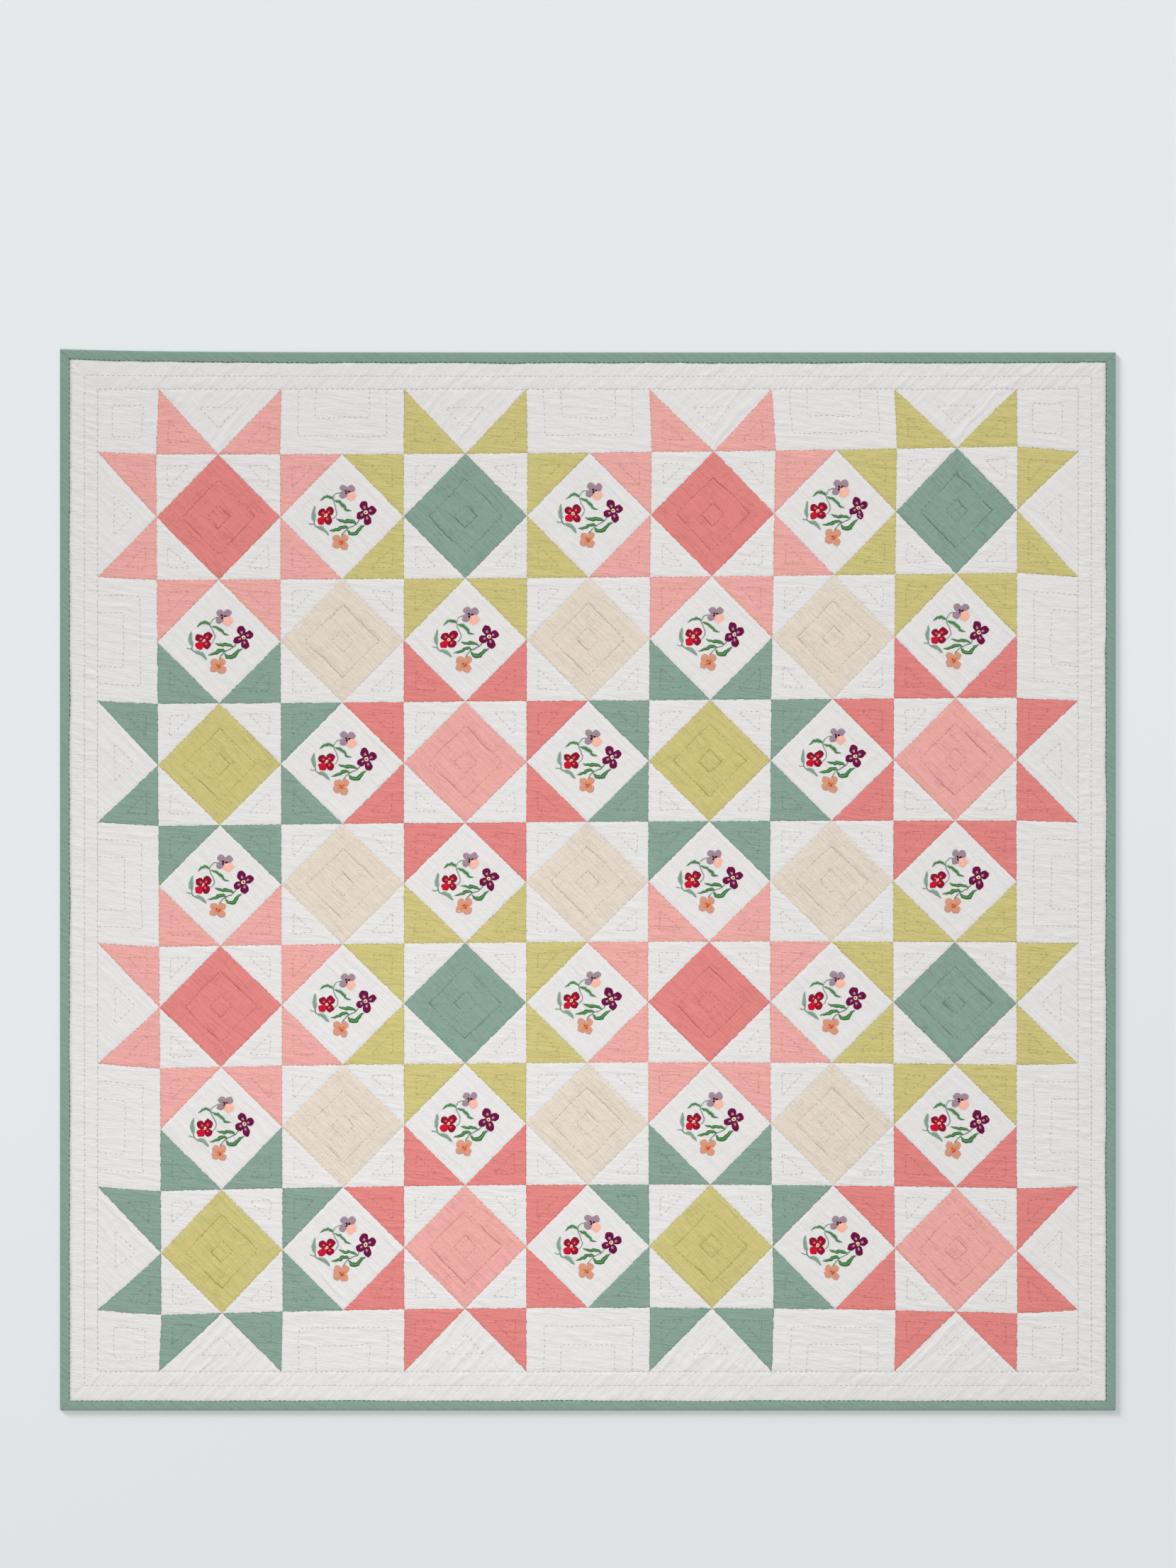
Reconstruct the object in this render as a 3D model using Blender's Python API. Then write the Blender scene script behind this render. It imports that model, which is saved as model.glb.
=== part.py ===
"""A patchwork bedspread: one pieced and hand-quilted panel inside a mitred cloth binding, lying flat.

Metres, +Z up. The origin is the middle of the outline, on the surface that the bedspread lies on.
+Y is the edge nearest the pillows and +X is the right-hand edge, seen from above.
"""

import math

import bmesh
import bpy

# Outline of the bound edge. The length is taken at the top left corner, which stands out a little.
WIDTH = 2.200
LENGTH = 2.212
CORNER_FALL = 0.007  # how far the top edge falls away from its left corner
CORNER_REACH = 0.20  # the distance over which it falls

# Patchwork. Seven cells each way, with a band of half cells round them for the star points.
CELL = 0.2554
HALF_CELL = CELL / 2
OUTER_CELL = 6  # the outermost cells' centres, counted in half cells from the middle
FIELD = (OUTER_CELL + 2) * HALF_CELL  # from the middle to the outside of the band

# Heights of the quilted top above the surface.
STITCH_TOP = 0.0030  # where seams and quilting stitches pull the three layers together
CREST_TOP = 0.0066  # the padding between two lines of stitches
SHOULDER_TOP = 0.0059  # the padding close to a seam in an unstitched diamond
SMALL_CREST_TOP = 0.0056  # the padding inside a small stitched shape

# Quilting: for each kind of patch, the rings inside its seams as (distance in from the last ring, height).
ECHO_PITCH = 0.036
ECHO = ((ECHO_PITCH / 2, CREST_TOP), (ECHO_PITCH / 2, STITCH_TOP))
TRIANGLE_INSET = 0.024
SMALL_CREST_INSET = 0.0065
QUILTING = {
    "echo_diamond": ECHO + ECHO + ((SMALL_CREST_INSET, SMALL_CREST_TOP),),
    "plain_diamond": ((0.016, SHOULDER_TOP), (0.030, CREST_TOP)),
    "triangle": (
        (TRIANGLE_INSET / 2, CREST_TOP),
        (TRIANGLE_INSET / 2, STITCH_TOP),
        (SMALL_CREST_INSET, SMALL_CREST_TOP),
    ),
    "band_patch": ECHO + ((SMALL_CREST_INSET, SMALL_CREST_TOP),),
}

# Binding: a cloth strip folded round the edge of the panel.
BINDING_WIDTH = 0.0205
BINDING_HEIGHT = 0.0062
BINDING_CLOTH = 0.0012
BINDING_DIP = 0.0008  # its stitched inner edge is pulled down by this much
BINDING_WAVE = 0.0012  # its inner edge wanders by this much
WAVE_TURNS = (9.0, 23.0)  # the two waves that make up the wander, in radians for half an edge
BINDING_STEPS = 28
CLEARANCE = 0.0003

# The outside of its section, from the underside round the fold and back to the stitched edge.
NOSE = 0.0024  # how far in the rounded fold reaches
NOSE_CURVE = (  # depth as a share of NOSE, height as a share of BINDING_HEIGHT
    (1.00, 0.00),
    (0.25, 0.20),
    (0.00, 0.50),
    (0.25, 0.78),
    (1.00, 0.92),
)
FLAT_SHARES = (0.35, 0.70)  # where the strip's top is level, as shares of BINDING_WIDTH
FOLD_DEPTH = BINDING_CLOTH + 0.0005  # how far in the fold's hollow starts

# The panel's thin rim, which lies inside the fold of the binding.
RIM_INSET = FOLD_DEPTH + 0.0005
RIM_SHOULDER = BINDING_WIDTH + BINDING_WAVE + 0.0020
RIM_UNDERSIDE = BINDING_CLOTH + CLEARANCE
RIM_TOP = BINDING_HEIGHT - BINDING_CLOTH - BINDING_DIP - CLEARANCE
UNDERSIDE_CHAMFER = 0.0025

# The plain border between the patchwork and the binding, with a line of stitches along its middle.
BORDER = WIDTH / 2 - FIELD - RIM_SHOULDER
BORDER_LINES = ((0.75, CREST_TOP), (0.50, STITCH_TOP), (0.25, CREST_TOP))  # share of BORDER, height

# How far the hand-pieced rows and columns run out of true. Shares are of half the patchwork's cells.
COLUMN_LEAN = 0.0054
LEAN_CURVE = (0.76, -0.52, -0.28)  # square, slope and level of the lean across the columns
COLUMN_BOW = 0.0095
BOW_COLUMN = 0.45
BOW_SPREAD = 0.40
ROW_TILT = 0.0051
ROW_TILT_GAIN = 0.0031
ROW_BOW = 0.0041
ROW_BOW_GAIN = 0.0090
MEAN_SQUARE = 1 / 3  # taken off each bow, so that a row's or column's mean place stays

# The rows also lie a little low in the outline, and most of all above the middle.
SHIFT_LEVEL = -0.0062
SHIFT_SQUARE = 0.0036
SHIFT_WAVE = -0.0048

WHITE_COTTON = (0.78, 0.77, 0.75)
SAGE_COTTON = (0.23, 0.35, 0.29)


def drift(x, y):
    """How far a point of the patchwork lies from its place in a true grid."""
    u = x / (3.5 * CELL)
    v = y / (3.5 * CELL)
    square, slope, level = LEAN_CURVE
    lean = COLUMN_LEAN * (square * u * u + slope * u + level)
    bow = COLUMN_BOW * math.exp(-(((u - BOW_COLUMN) / BOW_SPREAD) ** 2))
    tilt = ROW_TILT + ROW_TILT_GAIN * v
    sag = ROW_BOW_GAIN * v - ROW_BOW
    return bow * (v * v - MEAN_SQUARE) - lean * v, tilt * u + sag * (u * u - MEAN_SQUARE)


def limited(share):
    return min(1.0, max(0.0, share))


def smooth_step(share):
    share = limited(share)
    return share * share * (3 - 2 * share)


def row_shift(y):
    """How far a row lies from its place in a true grid, the same all along it."""
    v = y / (3.5 * CELL)
    return SHIFT_LEVEL + SHIFT_SQUARE * v * v + SHIFT_WAVE * math.sin(math.pi * v)


def settle(x, y):
    """The place in the sewn bedspread of a point (x, y) of the true pattern.

    The outer seam of the band is straight, so the drift ends there.
    """
    in_cells = limited(OUTER_CELL + 2 - max(abs(x), abs(y)) / HALF_CELL)
    across = (abs(x) - FIELD) / (WIDTH / 2 - RIM_SHOULDER - FIELD)
    border_y = LENGTH / 2 - RIM_SHOULDER - FIELD
    in_field = 1 - smooth_step(max(across, (abs(y) - FIELD) / border_y))
    dx, dy = drift(x, y)
    fall = CORNER_FALL * (1 - math.exp(-(x + WIDTH / 2) / CORNER_REACH))
    fall *= smooth_step((y - FIELD) / border_y)
    return x + in_cells * dx, y + in_cells * dy + in_field * row_shift(y) - fall


def cell_patches():
    """Yields (kind, corners) for the patches of the cells, with corners in half cells from the middle."""
    for cx in range(-OUTER_CELL, OUTER_CELL + 1, 2):
        for cy in range(-OUTER_CELL, OUTER_CELL + 1, 2):
            embroidered = (cx + cy) % 4 != 0
            kind = "plain_diamond" if embroidered else "echo_diamond"
            yield kind, ((cx + 1, cy), (cx, cy + 1), (cx - 1, cy), (cx, cy - 1))
            for sx, sy in ((1, 1), (-1, 1), (-1, -1), (1, -1)):
                yield "triangle", ((cx + sx, cy + sy), (cx, cy + sy), (cx + sx, cy))


def band_patches():
    """Yields (kind, corners) for the band of half cells along the +Y side, with its right-hand corner."""
    low = OUTER_CELL + 1
    high = OUTER_CELL + 2
    for cx in range(-OUTER_CELL, OUTER_CELL + 1, 2):
        if (cx + OUTER_CELL) % 4 == 0:
            yield "triangle", ((cx - 1, low), (cx, low), (cx - 1, high))
            yield "triangle", ((cx + 1, low), (cx, low), (cx + 1, high))
            yield "band_patch", ((cx - 1, high), (cx, low), (cx + 1, high))
        else:
            outline = ((cx - 1, low), (cx, low), (cx + 1, low), (cx + 1, high), (cx - 1, high))
            yield "band_patch", outline
    yield "band_patch", ((low, low), (high, low), (high, high), (low, high))


def all_patches():
    yield from cell_patches()
    for kind, corners in band_patches():
        for _ in range(4):
            yield kind, corners
            corners = tuple((-y, x) for x, y in corners)


def quilted_field(mesh):
    """Pieces the patches together and pads each one up between its seams and its quilting."""
    points = {}
    patches = {kind: [] for kind in QUILTING}
    for kind, corners in all_patches():
        for x, y in corners:
            if (x, y) not in points:
                points[x, y] = mesh.verts.new((x * HALF_CELL, y * HALF_CELL, STITCH_TOP))
        patches[kind].append(mesh.faces.new([points[corner] for corner in corners]))
    bmesh.ops.recalc_face_normals(mesh, faces=mesh.faces)
    for kind, faces in patches.items():
        for distance, height in QUILTING[kind]:
            bmesh.ops.inset_individual(
                mesh, faces=faces, thickness=distance, use_even_offset=True
            )
            for vert in {vert for face in faces for vert in face.verts}:
                vert.co.z = height


def widen(mesh, edges, inset, height):
    """Extrudes the panel's rim to a ring at this distance in from the outline and at this height."""
    made = bmesh.ops.extrude_edge_only(mesh, edges=edges)["geom"]
    verts = [item for item in made if isinstance(item, bmesh.types.BMVert)]
    x_reach = max(abs(vert.co.x) for vert in verts)
    y_reach = max(abs(vert.co.y) for vert in verts)
    for vert in verts:
        vert.co.x *= (WIDTH / 2 - inset) / x_reach
        vert.co.y *= (LENGTH / 2 - inset) / y_reach
        vert.co.z = height
    return [edge for edge in made if isinstance(edge, bmesh.types.BMEdge) and edge.is_boundary]


def quilted_panel(material):
    """The pieced, padded and quilted panel, from its flat underside to its raised top."""
    mesh = bmesh.new()
    quilted_field(mesh)
    rim = [edge for edge in mesh.edges if edge.is_boundary]
    rings = [(RIM_SHOULDER + share * BORDER, height) for share, height in BORDER_LINES]
    rings += [
        (RIM_SHOULDER, RIM_TOP),
        (RIM_INSET, RIM_TOP),
        (RIM_INSET, RIM_UNDERSIDE),
        (RIM_SHOULDER, RIM_UNDERSIDE),
        (RIM_SHOULDER + UNDERSIDE_CHAMFER, 0.0),
    ]
    for inset, height in rings:
        rim = widen(mesh, rim, inset, height)
    bmesh.ops.contextual_create(mesh, geom=rim)
    bmesh.ops.recalc_face_normals(mesh, faces=mesh.faces)
    return finished("quilted_panel", mesh, material)


def binding_section():
    """The folded strip's outline as (distance in from the edge, height), in order round the section."""
    inside_top = BINDING_HEIGHT - BINDING_CLOTH
    outside = [(depth * NOSE, height * BINDING_HEIGHT) for depth, height in NOSE_CURVE]
    outside += [(share * BINDING_WIDTH, BINDING_HEIGHT) for share in FLAT_SHARES]
    edge = [
        (BINDING_WIDTH, BINDING_HEIGHT - BINDING_DIP),
        (BINDING_WIDTH, inside_top - BINDING_DIP),
    ]
    hollow = [(share * BINDING_WIDTH, inside_top) for share in reversed(FLAT_SHARES)]
    hollow += [(FOLD_DEPTH, inside_top), (FOLD_DEPTH, BINDING_CLOTH)]
    under = [(BINDING_WIDTH, BINDING_CLOTH), (BINDING_WIDTH, 0.0)]
    return outside + edge + hollow + under


def binding_strip(name, turn, half_run, half_span, material):
    """One side's strip, turned this many quarter turns from the +Y side.

    half_run is half of the edge's own length, and half_span is from the middle of the bedspread to it.
    """
    mesh = bmesh.new()
    section = binding_section()
    verts = [mesh.verts.new((0.0, 0.0, 0.0)) for _ in section]
    edges = [mesh.edges.new(pair) for pair in zip(verts, verts[1:] + verts[:1])]
    first_end = edges
    for step in range(BINDING_STEPS + 1):
        share = 2 * step / BINDING_STEPS - 1
        if step:
            made = bmesh.ops.extrude_edge_only(mesh, edges=edges)["geom"]
            edges = [item for item in made if isinstance(item, bmesh.types.BMEdge) and item.is_boundary]
            verts = [item for item in made if isinstance(item, bmesh.types.BMVert)]
        slow, quick = WAVE_TURNS
        wave = math.sin(slow * share + 2 * turn) * math.cos(quick * share + turn)
        wave *= BINDING_WAVE * (1 - share * share)
        for vert, (depth, height) in zip(verts, section):
            reach = depth
            if height > BINDING_HEIGHT / 2:
                reach += wave * (depth / BINDING_WIDTH) ** 2
            x = share * (half_run - depth - CLEARANCE)
            y = half_span - reach
            for _ in range(turn):
                x, y = -y, x
            vert.co = (x, y, height)
    bmesh.ops.contextual_create(mesh, geom=first_end)
    bmesh.ops.contextual_create(mesh, geom=edges)
    bmesh.ops.recalc_face_normals(mesh, faces=mesh.faces)
    return finished(name, mesh, material)


def finished(name, mesh, material):
    """Moves the true pattern's points to where they lie when sewn, and makes the object."""
    for vert in mesh.verts:
        vert.co.x, vert.co.y = settle(vert.co.x, vert.co.y)
    data = bpy.data.meshes.new(name)
    mesh.to_mesh(data)
    mesh.free()
    data.materials.append(material)
    obj = bpy.data.objects.new(name, data)
    bpy.data.collections["bedspread"].objects.link(obj)
    return obj


def cotton(name, colour):
    """Woven cotton: matt, with no metal in it."""
    material = bpy.data.materials.new(name)
    material.use_nodes = True
    shader = material.node_tree.nodes["Principled BSDF"]
    shader.inputs["Base Color"].default_value = (*colour, 1.0)
    shader.inputs["Roughness"].default_value = 0.9
    shader.inputs["Metallic"].default_value = 0.0
    return material


def main():
    for obj in list(bpy.data.objects):
        bpy.data.objects.remove(obj)
    collection = bpy.data.collections.new("bedspread")
    bpy.context.scene.collection.children.link(collection)
    quilted_panel(cotton("white_cotton", WHITE_COTTON))
    sage = cotton("sage_cotton", SAGE_COTTON)
    for turn, side in enumerate(("top", "left", "bottom", "right")):
        half_run, half_span = WIDTH / 2, LENGTH / 2
        if turn % 2:
            half_run, half_span = half_span, half_run
        binding_strip(f"binding_{side}", turn, half_run, half_span, sage)


main()
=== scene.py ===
"""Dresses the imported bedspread: patchwork, border, backing, binding, quilting, embroidery and stage.

Metres, +Z up. The origin is the middle of the outline, on the surface that the bedspread lies on.
+Y is the edge nearest the pillows and +X is the right-hand edge, seen from above.

Cloth, quilting and embroidery are all made flat on a true pattern first, and then one function raises them
to the quilted surface and moves them to where the hand-pieced rows and columns really run.
"""

import math
import random
from functools import partial
from itertools import product

import bmesh
import bpy
import numpy as np
from bpy.props import FloatProperty, FloatVectorProperty, PointerProperty
from mathutils import Matrix, Vector


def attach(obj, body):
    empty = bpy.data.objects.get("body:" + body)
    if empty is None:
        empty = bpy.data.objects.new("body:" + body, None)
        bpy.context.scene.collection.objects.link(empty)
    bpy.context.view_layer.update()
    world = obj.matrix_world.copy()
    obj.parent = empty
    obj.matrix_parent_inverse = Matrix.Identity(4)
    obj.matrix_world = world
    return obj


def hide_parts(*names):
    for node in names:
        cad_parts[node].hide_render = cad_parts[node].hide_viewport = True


bl_info = {
    "name": "Quilted Bedspread",
    "version": (1, 0, 0),
    "blender": (4, 5, 0),
    "location": "3D View > Sidebar > Bedspread",
    "description": "Dresses the packed bedspread with its cloth, quilting, embroidery and binding",
    "category": "Object",
}

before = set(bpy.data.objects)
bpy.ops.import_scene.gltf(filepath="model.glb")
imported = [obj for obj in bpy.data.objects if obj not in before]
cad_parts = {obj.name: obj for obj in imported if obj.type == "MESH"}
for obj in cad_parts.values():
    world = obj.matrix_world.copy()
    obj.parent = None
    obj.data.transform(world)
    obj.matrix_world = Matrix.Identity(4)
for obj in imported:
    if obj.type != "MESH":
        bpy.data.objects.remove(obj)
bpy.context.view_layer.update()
PANEL = "quilted_panel"
SIDES = ("top", "left", "bottom", "right")  # in quarter turns from +Y

# The outline and the pattern, as the CAD has them.
WIDTH = 2.200
LENGTH = 2.212
CORNER_FALL = 0.007
CORNER_REACH = 0.20
CELL = 0.2554
HALF_CELL = CELL / 2
OUTER_CELL = 6
CELLS = range(-OUTER_CELL, OUTER_CELL + 1, 2)  # middles of the seven cells, in half cells
BAND_INSIDE = OUTER_CELL + 1
BAND_OUTSIDE = OUTER_CELL + 2
FIELD = BAND_OUTSIDE * HALF_CELL
COLUMN_LEAN = 0.0054
LEAN_CURVE = (0.76, -0.52, -0.28)
COLUMN_BOW = 0.0095
BOW_COLUMN = 0.45
BOW_SPREAD = 0.40
ROW_TILT = 0.0051
ROW_TILT_GAIN = 0.0031
ROW_BOW = 0.0041
ROW_BOW_GAIN = 0.0090
MEAN_SQUARE = 1 / 3
SHIFT_LEVEL = -0.0062
SHIFT_SQUARE = 0.0036
SHIFT_WAVE = -0.0048

# Heights above the surface, and the binding's section.
STITCH_TOP = 0.0046
BINDING_WIDTH = 0.0205
BINDING_HEIGHT = 0.0062
BINDING_CLOTH = 0.0012
BINDING_DIP = 0.0008
BINDING_WAVE = 0.0012
WAVE_TURNS = (9.0, 23.0)
CLEARANCE = 0.0003
NOSE = 0.0024
FOLD_DEPTH = BINDING_CLOTH + 0.0005
RIM_INSET = FOLD_DEPTH + 0.0005
RIM_SHOULDER = BINDING_WIDTH + BINDING_WAVE + 0.0020
RIM_UNDERSIDE = BINDING_CLOTH + CLEARANCE
RIM_TOP = BINDING_HEIGHT - BINDING_CLOTH - BINDING_DIP - CLEARANCE
UNDERSIDE_CHAMFER = 0.0025
BORDER_X = WIDTH / 2 - RIM_SHOULDER - FIELD
BORDER_Y = LENGTH / 2 - RIM_SHOULDER - FIELD

# The cloth meshes have this many squares along half a cell, so each line of quilting lies on their edges.
FINENESS = 32
SQUARE = HALF_CELL / FINENESS
ROOT_TWO = math.sqrt(2)
BORDER_ROWS = 14
RIM_ROWS = 3

# Lines of quilting inside each kind of patch, in squares from its middle or its right-angled corner.
ECHO_RINGS = (19, 6)
TRIANGLE_LEG = 6
TRIANGLE_SLANT = 9
GOOSE_BASE = 9
GOOSE_SLANT = 13
OBLONG_LINES = (9, 18)
CORNER_LINE = 8
FAR = 1.0  # metres, for a point that has no line near it


def linear(hex_colour):
    """An sRGB hex colour as the linear numbers that shaders use."""
    parts = [int(hex_colour[start : start + 2], 16) / 255 for start in (1, 3, 5)]
    return tuple(part / 12.92 if part <= 0.04045 else ((part + 0.055) / 1.055) ** 2.4 for part in parts)


def dye(name, description, hex_colour):
    """A colour that the user may change."""
    return FloatVectorProperty(
        name=name, description=description, default=linear(hex_colour), subtype="COLOR", min=0, max=1
    )


def measure(name, description, default):
    """A length that the user may change, in metres."""
    return FloatProperty(
        name=name, description=description, default=default, min=0, max=0.2, precision=5, unit="LENGTH"
    )


def strength(name, description, default, most=20):
    """The strength of a light, which the user may change."""
    return FloatProperty(name=name, description=description, default=default, min=0, max=most)


class BedspreadSizes(bpy.types.PropertyGroup):
    """Sizes of the quilted relief and of its stitches."""

    loft: measure("Loft", "How far the wadding stands up between two lines of quilting", 0.0013)
    groove: measure("Groove", "How far from a line of quilting the wadding has mostly risen", 0.0025)
    ditch: measure("Ditch", "How far from a seam the wadding has mostly risen", 0.0022)
    pucker: measure("Pucker", "Height of the small ripples that cross the lines of stitches", 0.00045)
    ripples: measure("Ripples", "Height of the ripples that run across each patch", 0.00095)
    crease: measure("Crease", "Depth of the narrow creases in the patches", 0.0009)
    wander: measure("Wander", "How far the hand-sewn seams stray from straight", 0.0014)
    sway: measure("Sway", "How far the lines of quilting stray from straight", 0.0028)
    stitch_pitch: measure("Stitch pitch", "From one running stitch to the next", 0.011)
    stitch_length: measure("Stitch length", "The part of a running stitch that shows", 0.0050)
    stitch_width: measure("Stitch width", "Thickness of the quilting thread as it lies", 0.0012)
    floss: measure("Floss", "Height of the satin-stitched petals and leaves", 0.0010)


class BedspreadColours(bpy.types.PropertyGroup):
    """Colours of the cloths and threads."""

    white: dye("White", "White cotton of the ground", "#e4e2e0")
    sage: dye("Sage", "Sage cotton of the star points and diamonds", "#87a294")
    lime: dye("Lime", "Lime cotton of the star points and diamonds", "#cdc27d")
    coral: dye("Coral", "Coral cotton of the star points and diamonds", "#e28581")
    salmon: dye("Salmon", "Salmon cotton of the star points and diamonds", "#ecaaa3")
    linen: dye("Linen", "Beige linen of the plain diamonds", "#e3d6c7")
    binding: dye("Binding", "Sage cotton of the binding", "#849f93")
    mauve: dye("Mauve", "Mauve floss", "#9f8794")
    peach: dye("Peach", "Peach floss", "#f4b8a4")
    maroon: dye("Maroon", "Maroon floss", "#84102e")
    red: dye("Red", "Red floss", "#c8102e")
    rose: dye("Rose", "Rose floss inside the red petals", "#e07060")
    plum: dye("Plum", "Plum floss", "#6a0a3e")
    lilac: dye("Lilac", "Lilac floss inside the plum petals", "#b08fa3")
    tan: dye("Tan", "Tan floss", "#d2977f")
    orange: dye("Orange", "Orange floss inside the tan petals", "#e8833a")
    cream: dye("Cream", "Cream floss of the flowers' eyes", "#f0d9b0")
    pale_leaf: dye("Pale leaf", "Pale grey-green floss", "#8fa898")
    leaf: dye("Leaf", "Medium green floss", "#63936a")
    deep_leaf: dye("Deep leaf", "Deep green floss", "#33702f")
    stem: dye("Stem", "Grey-green floss of the stems", "#6b8577")


class BedspreadStage(bpy.types.PropertyGroup):
    """Floor, light and camera."""

    floor: dye("Floor", "Pale floor under the bedspread", "#e4e8eb")
    sky: strength("Sky", "Strength of the even light", 0.50, 5)
    key: strength("Key", "Strength of the soft key light", 1.47)
    side: strength("Side", "Strength of the light from the side", 0.78)
    lamp: strength("Lamp", "Watts of the soft lamp overhead", 3.6, 100)
    grazing: strength("Grazing", "Strength of the low light across the floor", 3.4)
    high: strength("High", "Strength of the high light on the floor", 0.71)
    camera_height: FloatProperty(
        name="Camera height",
        description="From the surface to the camera",
        default=8.0,
        min=1,
        unit="LENGTH",
    )


# Placing the pattern


def smooth_step(share):
    """Rises from 0 to 1 as share does, with level ends."""
    share = np.clip(share, 0.0, 1.0)
    return share * share * (3 - 2 * share)


def drift(x, y):
    """How far points of the patchwork lie from their places in a true grid."""
    u = x / (3.5 * CELL)
    v = y / (3.5 * CELL)
    square, slope, level = LEAN_CURVE
    lean = COLUMN_LEAN * (square * u * u + slope * u + level)
    bow = COLUMN_BOW * np.exp(-(((u - BOW_COLUMN) / BOW_SPREAD) ** 2))
    tilt = ROW_TILT + ROW_TILT_GAIN * v
    sag = ROW_BOW_GAIN * v - ROW_BOW
    return bow * (v * v - MEAN_SQUARE) - lean * v, tilt * u + sag * (u * u - MEAN_SQUARE)


def border_share(x, y):
    """0 at the inside of the border, 1 where it goes under the binding, and more or less beyond."""
    return np.maximum((np.abs(x) - FIELD) / BORDER_X, (np.abs(y) - FIELD) / BORDER_Y)


def row_shift(y):
    """How far a row lies from its place in a true grid, the same all along it."""
    v = y / (3.5 * CELL)
    return SHIFT_LEVEL + SHIFT_SQUARE * v * v + SHIFT_WAVE * np.sin(np.pi * v)


def settle(x, y):
    """Where points of the true pattern lie in the sewn bedspread."""
    in_cells = np.clip(BAND_OUTSIDE - np.maximum(np.abs(x), np.abs(y)) / HALF_CELL, 0.0, 1.0)
    in_field = 1 - smooth_step(border_share(x, y))
    dx, dy = drift(x, y)
    fall = CORNER_FALL * (1 - np.exp(-(x + WIDTH / 2) / CORNER_REACH))
    fall = fall * smooth_step((y - FIELD) / BORDER_Y)
    return x + in_cells * dx, y + in_cells * dy + in_field * row_shift(y) - fall

# Cloths of each star's diamond and of its points, by row and column of stars. They repeat.
STARS = (
    (("coral", "salmon"), ("sage", "lime")),
    (("lime", "sage"), ("salmon", "coral")),
)
# The corners of a cell, and the quarter turns that bring a triangle there.
CORNERS = ((1, 1, 2), (-1, 1, 3), (-1, -1, 0), (1, -1, 1))


def star_cloths(cx, cy):
    """The cloths of a star's diamond and of its points. Its centre is counted in half cells."""
    return STARS[(OUTER_CELL - cy) // 4 % 2][(cx + OUTER_CELL) // 4 % 2]


def at(x, y, turn=0):
    """Places a template at this corner or middle, in half cells, after some quarter turns."""
    place = Matrix.Translation((x * HALF_CELL, y * HALF_CELL, 0))
    return place @ Matrix.Rotation(turn * math.pi / 2, 4, "Z")


def cell_places():
    """Yields (kind, cloth, place) for the patches of the seven by seven cells."""
    for cx, cy in product(CELLS, CELLS):
        odd_column = (cx + OUTER_CELL) % 4 != 0
        odd_row = (OUTER_CELL - cy) % 4 != 0
        if odd_column != odd_row:
            yield "plain_diamond", "white", at(cx, cy)
        elif odd_column:
            yield "echo_diamond", "linen", at(cx, cy)
        else:
            yield "echo_diamond", star_cloths(cx, cy)[0], at(cx, cy)
        for sx, sy, turn in CORNERS:
            cloth = "white"
            if odd_column != odd_row:
                star = (cx + 2 * sx, cy) if odd_column else (cx, cy + 2 * sy)
                cloth = star_cloths(*star)[1]
            yield "triangle", cloth, at(cx + sx, cy + sy, turn)


def band_places():
    """Yields (kind, cloth, place) for the band of half cells round the cells."""
    for turn in range(4):
        side = Matrix.Rotation(turn * math.pi / 2, 4, "Z")
        for cx in CELLS:
            if (cx + OUTER_CELL) % 4:
                yield "oblong", "white", side @ at(cx, BAND_INSIDE)
                continue
            star = (cx, OUTER_CELL)
            for _ in range(turn):
                star = (-star[1], star[0])
            cloth = star_cloths(*star)[1]
            yield "triangle", cloth, side @ at(cx - 1, BAND_INSIDE)
            yield "triangle", cloth, side @ at(cx + 1, BAND_INSIDE, 1)
            yield "goose", "white", side @ at(cx, BAND_INSIDE)
        yield "corner", "white", side @ at(BAND_INSIDE, BAND_INSIDE)


# The quilted surface


class Lines:
    """The nearest sewn line to each point, and how far along it that point lies."""

    def __init__(self, count):
        self.distance = np.full(count, FAR)
        self.run = np.zeros(count)

    def ring(self, where, sides):
        """Adds a ring of stitches. sides are (how far inside each side a point is, its run along it)."""
        inside = np.stack([distance for distance, _ in sides])
        run = np.choose(inside.argmin(axis=0), [run for _, run in sides])
        distance = np.abs(inside.min(axis=0))
        nearer = where & (distance < self.distance)
        self.distance[nearer] = distance[nearer]
        self.run[nearer] = run[nearer]


def inset(sides, *depths):
    """The same sides, each moved in by its depth in metres."""
    return [(distance - depth, run) for (distance, run), depth in zip(sides, depths)]


def cell_lines(seams, quilting, x, y, inside):
    """The seams and quilting of the seven by seven cells."""
    cx = 2 * np.round(x / CELL)
    cy = 2 * np.round(y / CELL)
    a = np.abs(x / HALF_CELL - cx)
    b = np.abs(y / HALF_CELL - cy)
    echo = np.round(cx + cy) % 4 == 0
    slant = HALF_CELL * (1 - a - b) / ROOT_TWO
    diagonal = HALF_CELL * (a - b) / ROOT_TWO
    diamond = [(slant, diagonal)]
    triangle = [(HALF_CELL * (1 - a), y), (HALF_CELL * (1 - b), x), (-slant, diagonal)]
    in_diamond = inside & (slant >= 0)
    in_triangle = inside & (slant < 0)
    seams.ring(in_diamond, diamond)
    seams.ring(in_triangle, triangle)
    for ring in ECHO_RINGS:
        depth = (FINENESS - ring) * SQUARE / ROOT_TWO
        quilting.ring(in_diamond & echo, inset(diamond, depth))
    leg = TRIANGLE_LEG * SQUARE
    quilting.ring(in_triangle, inset(triangle, leg, leg, TRIANGLE_SLANT * SQUARE / ROOT_TWO))
    return in_diamond, in_diamond & ~echo


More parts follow.
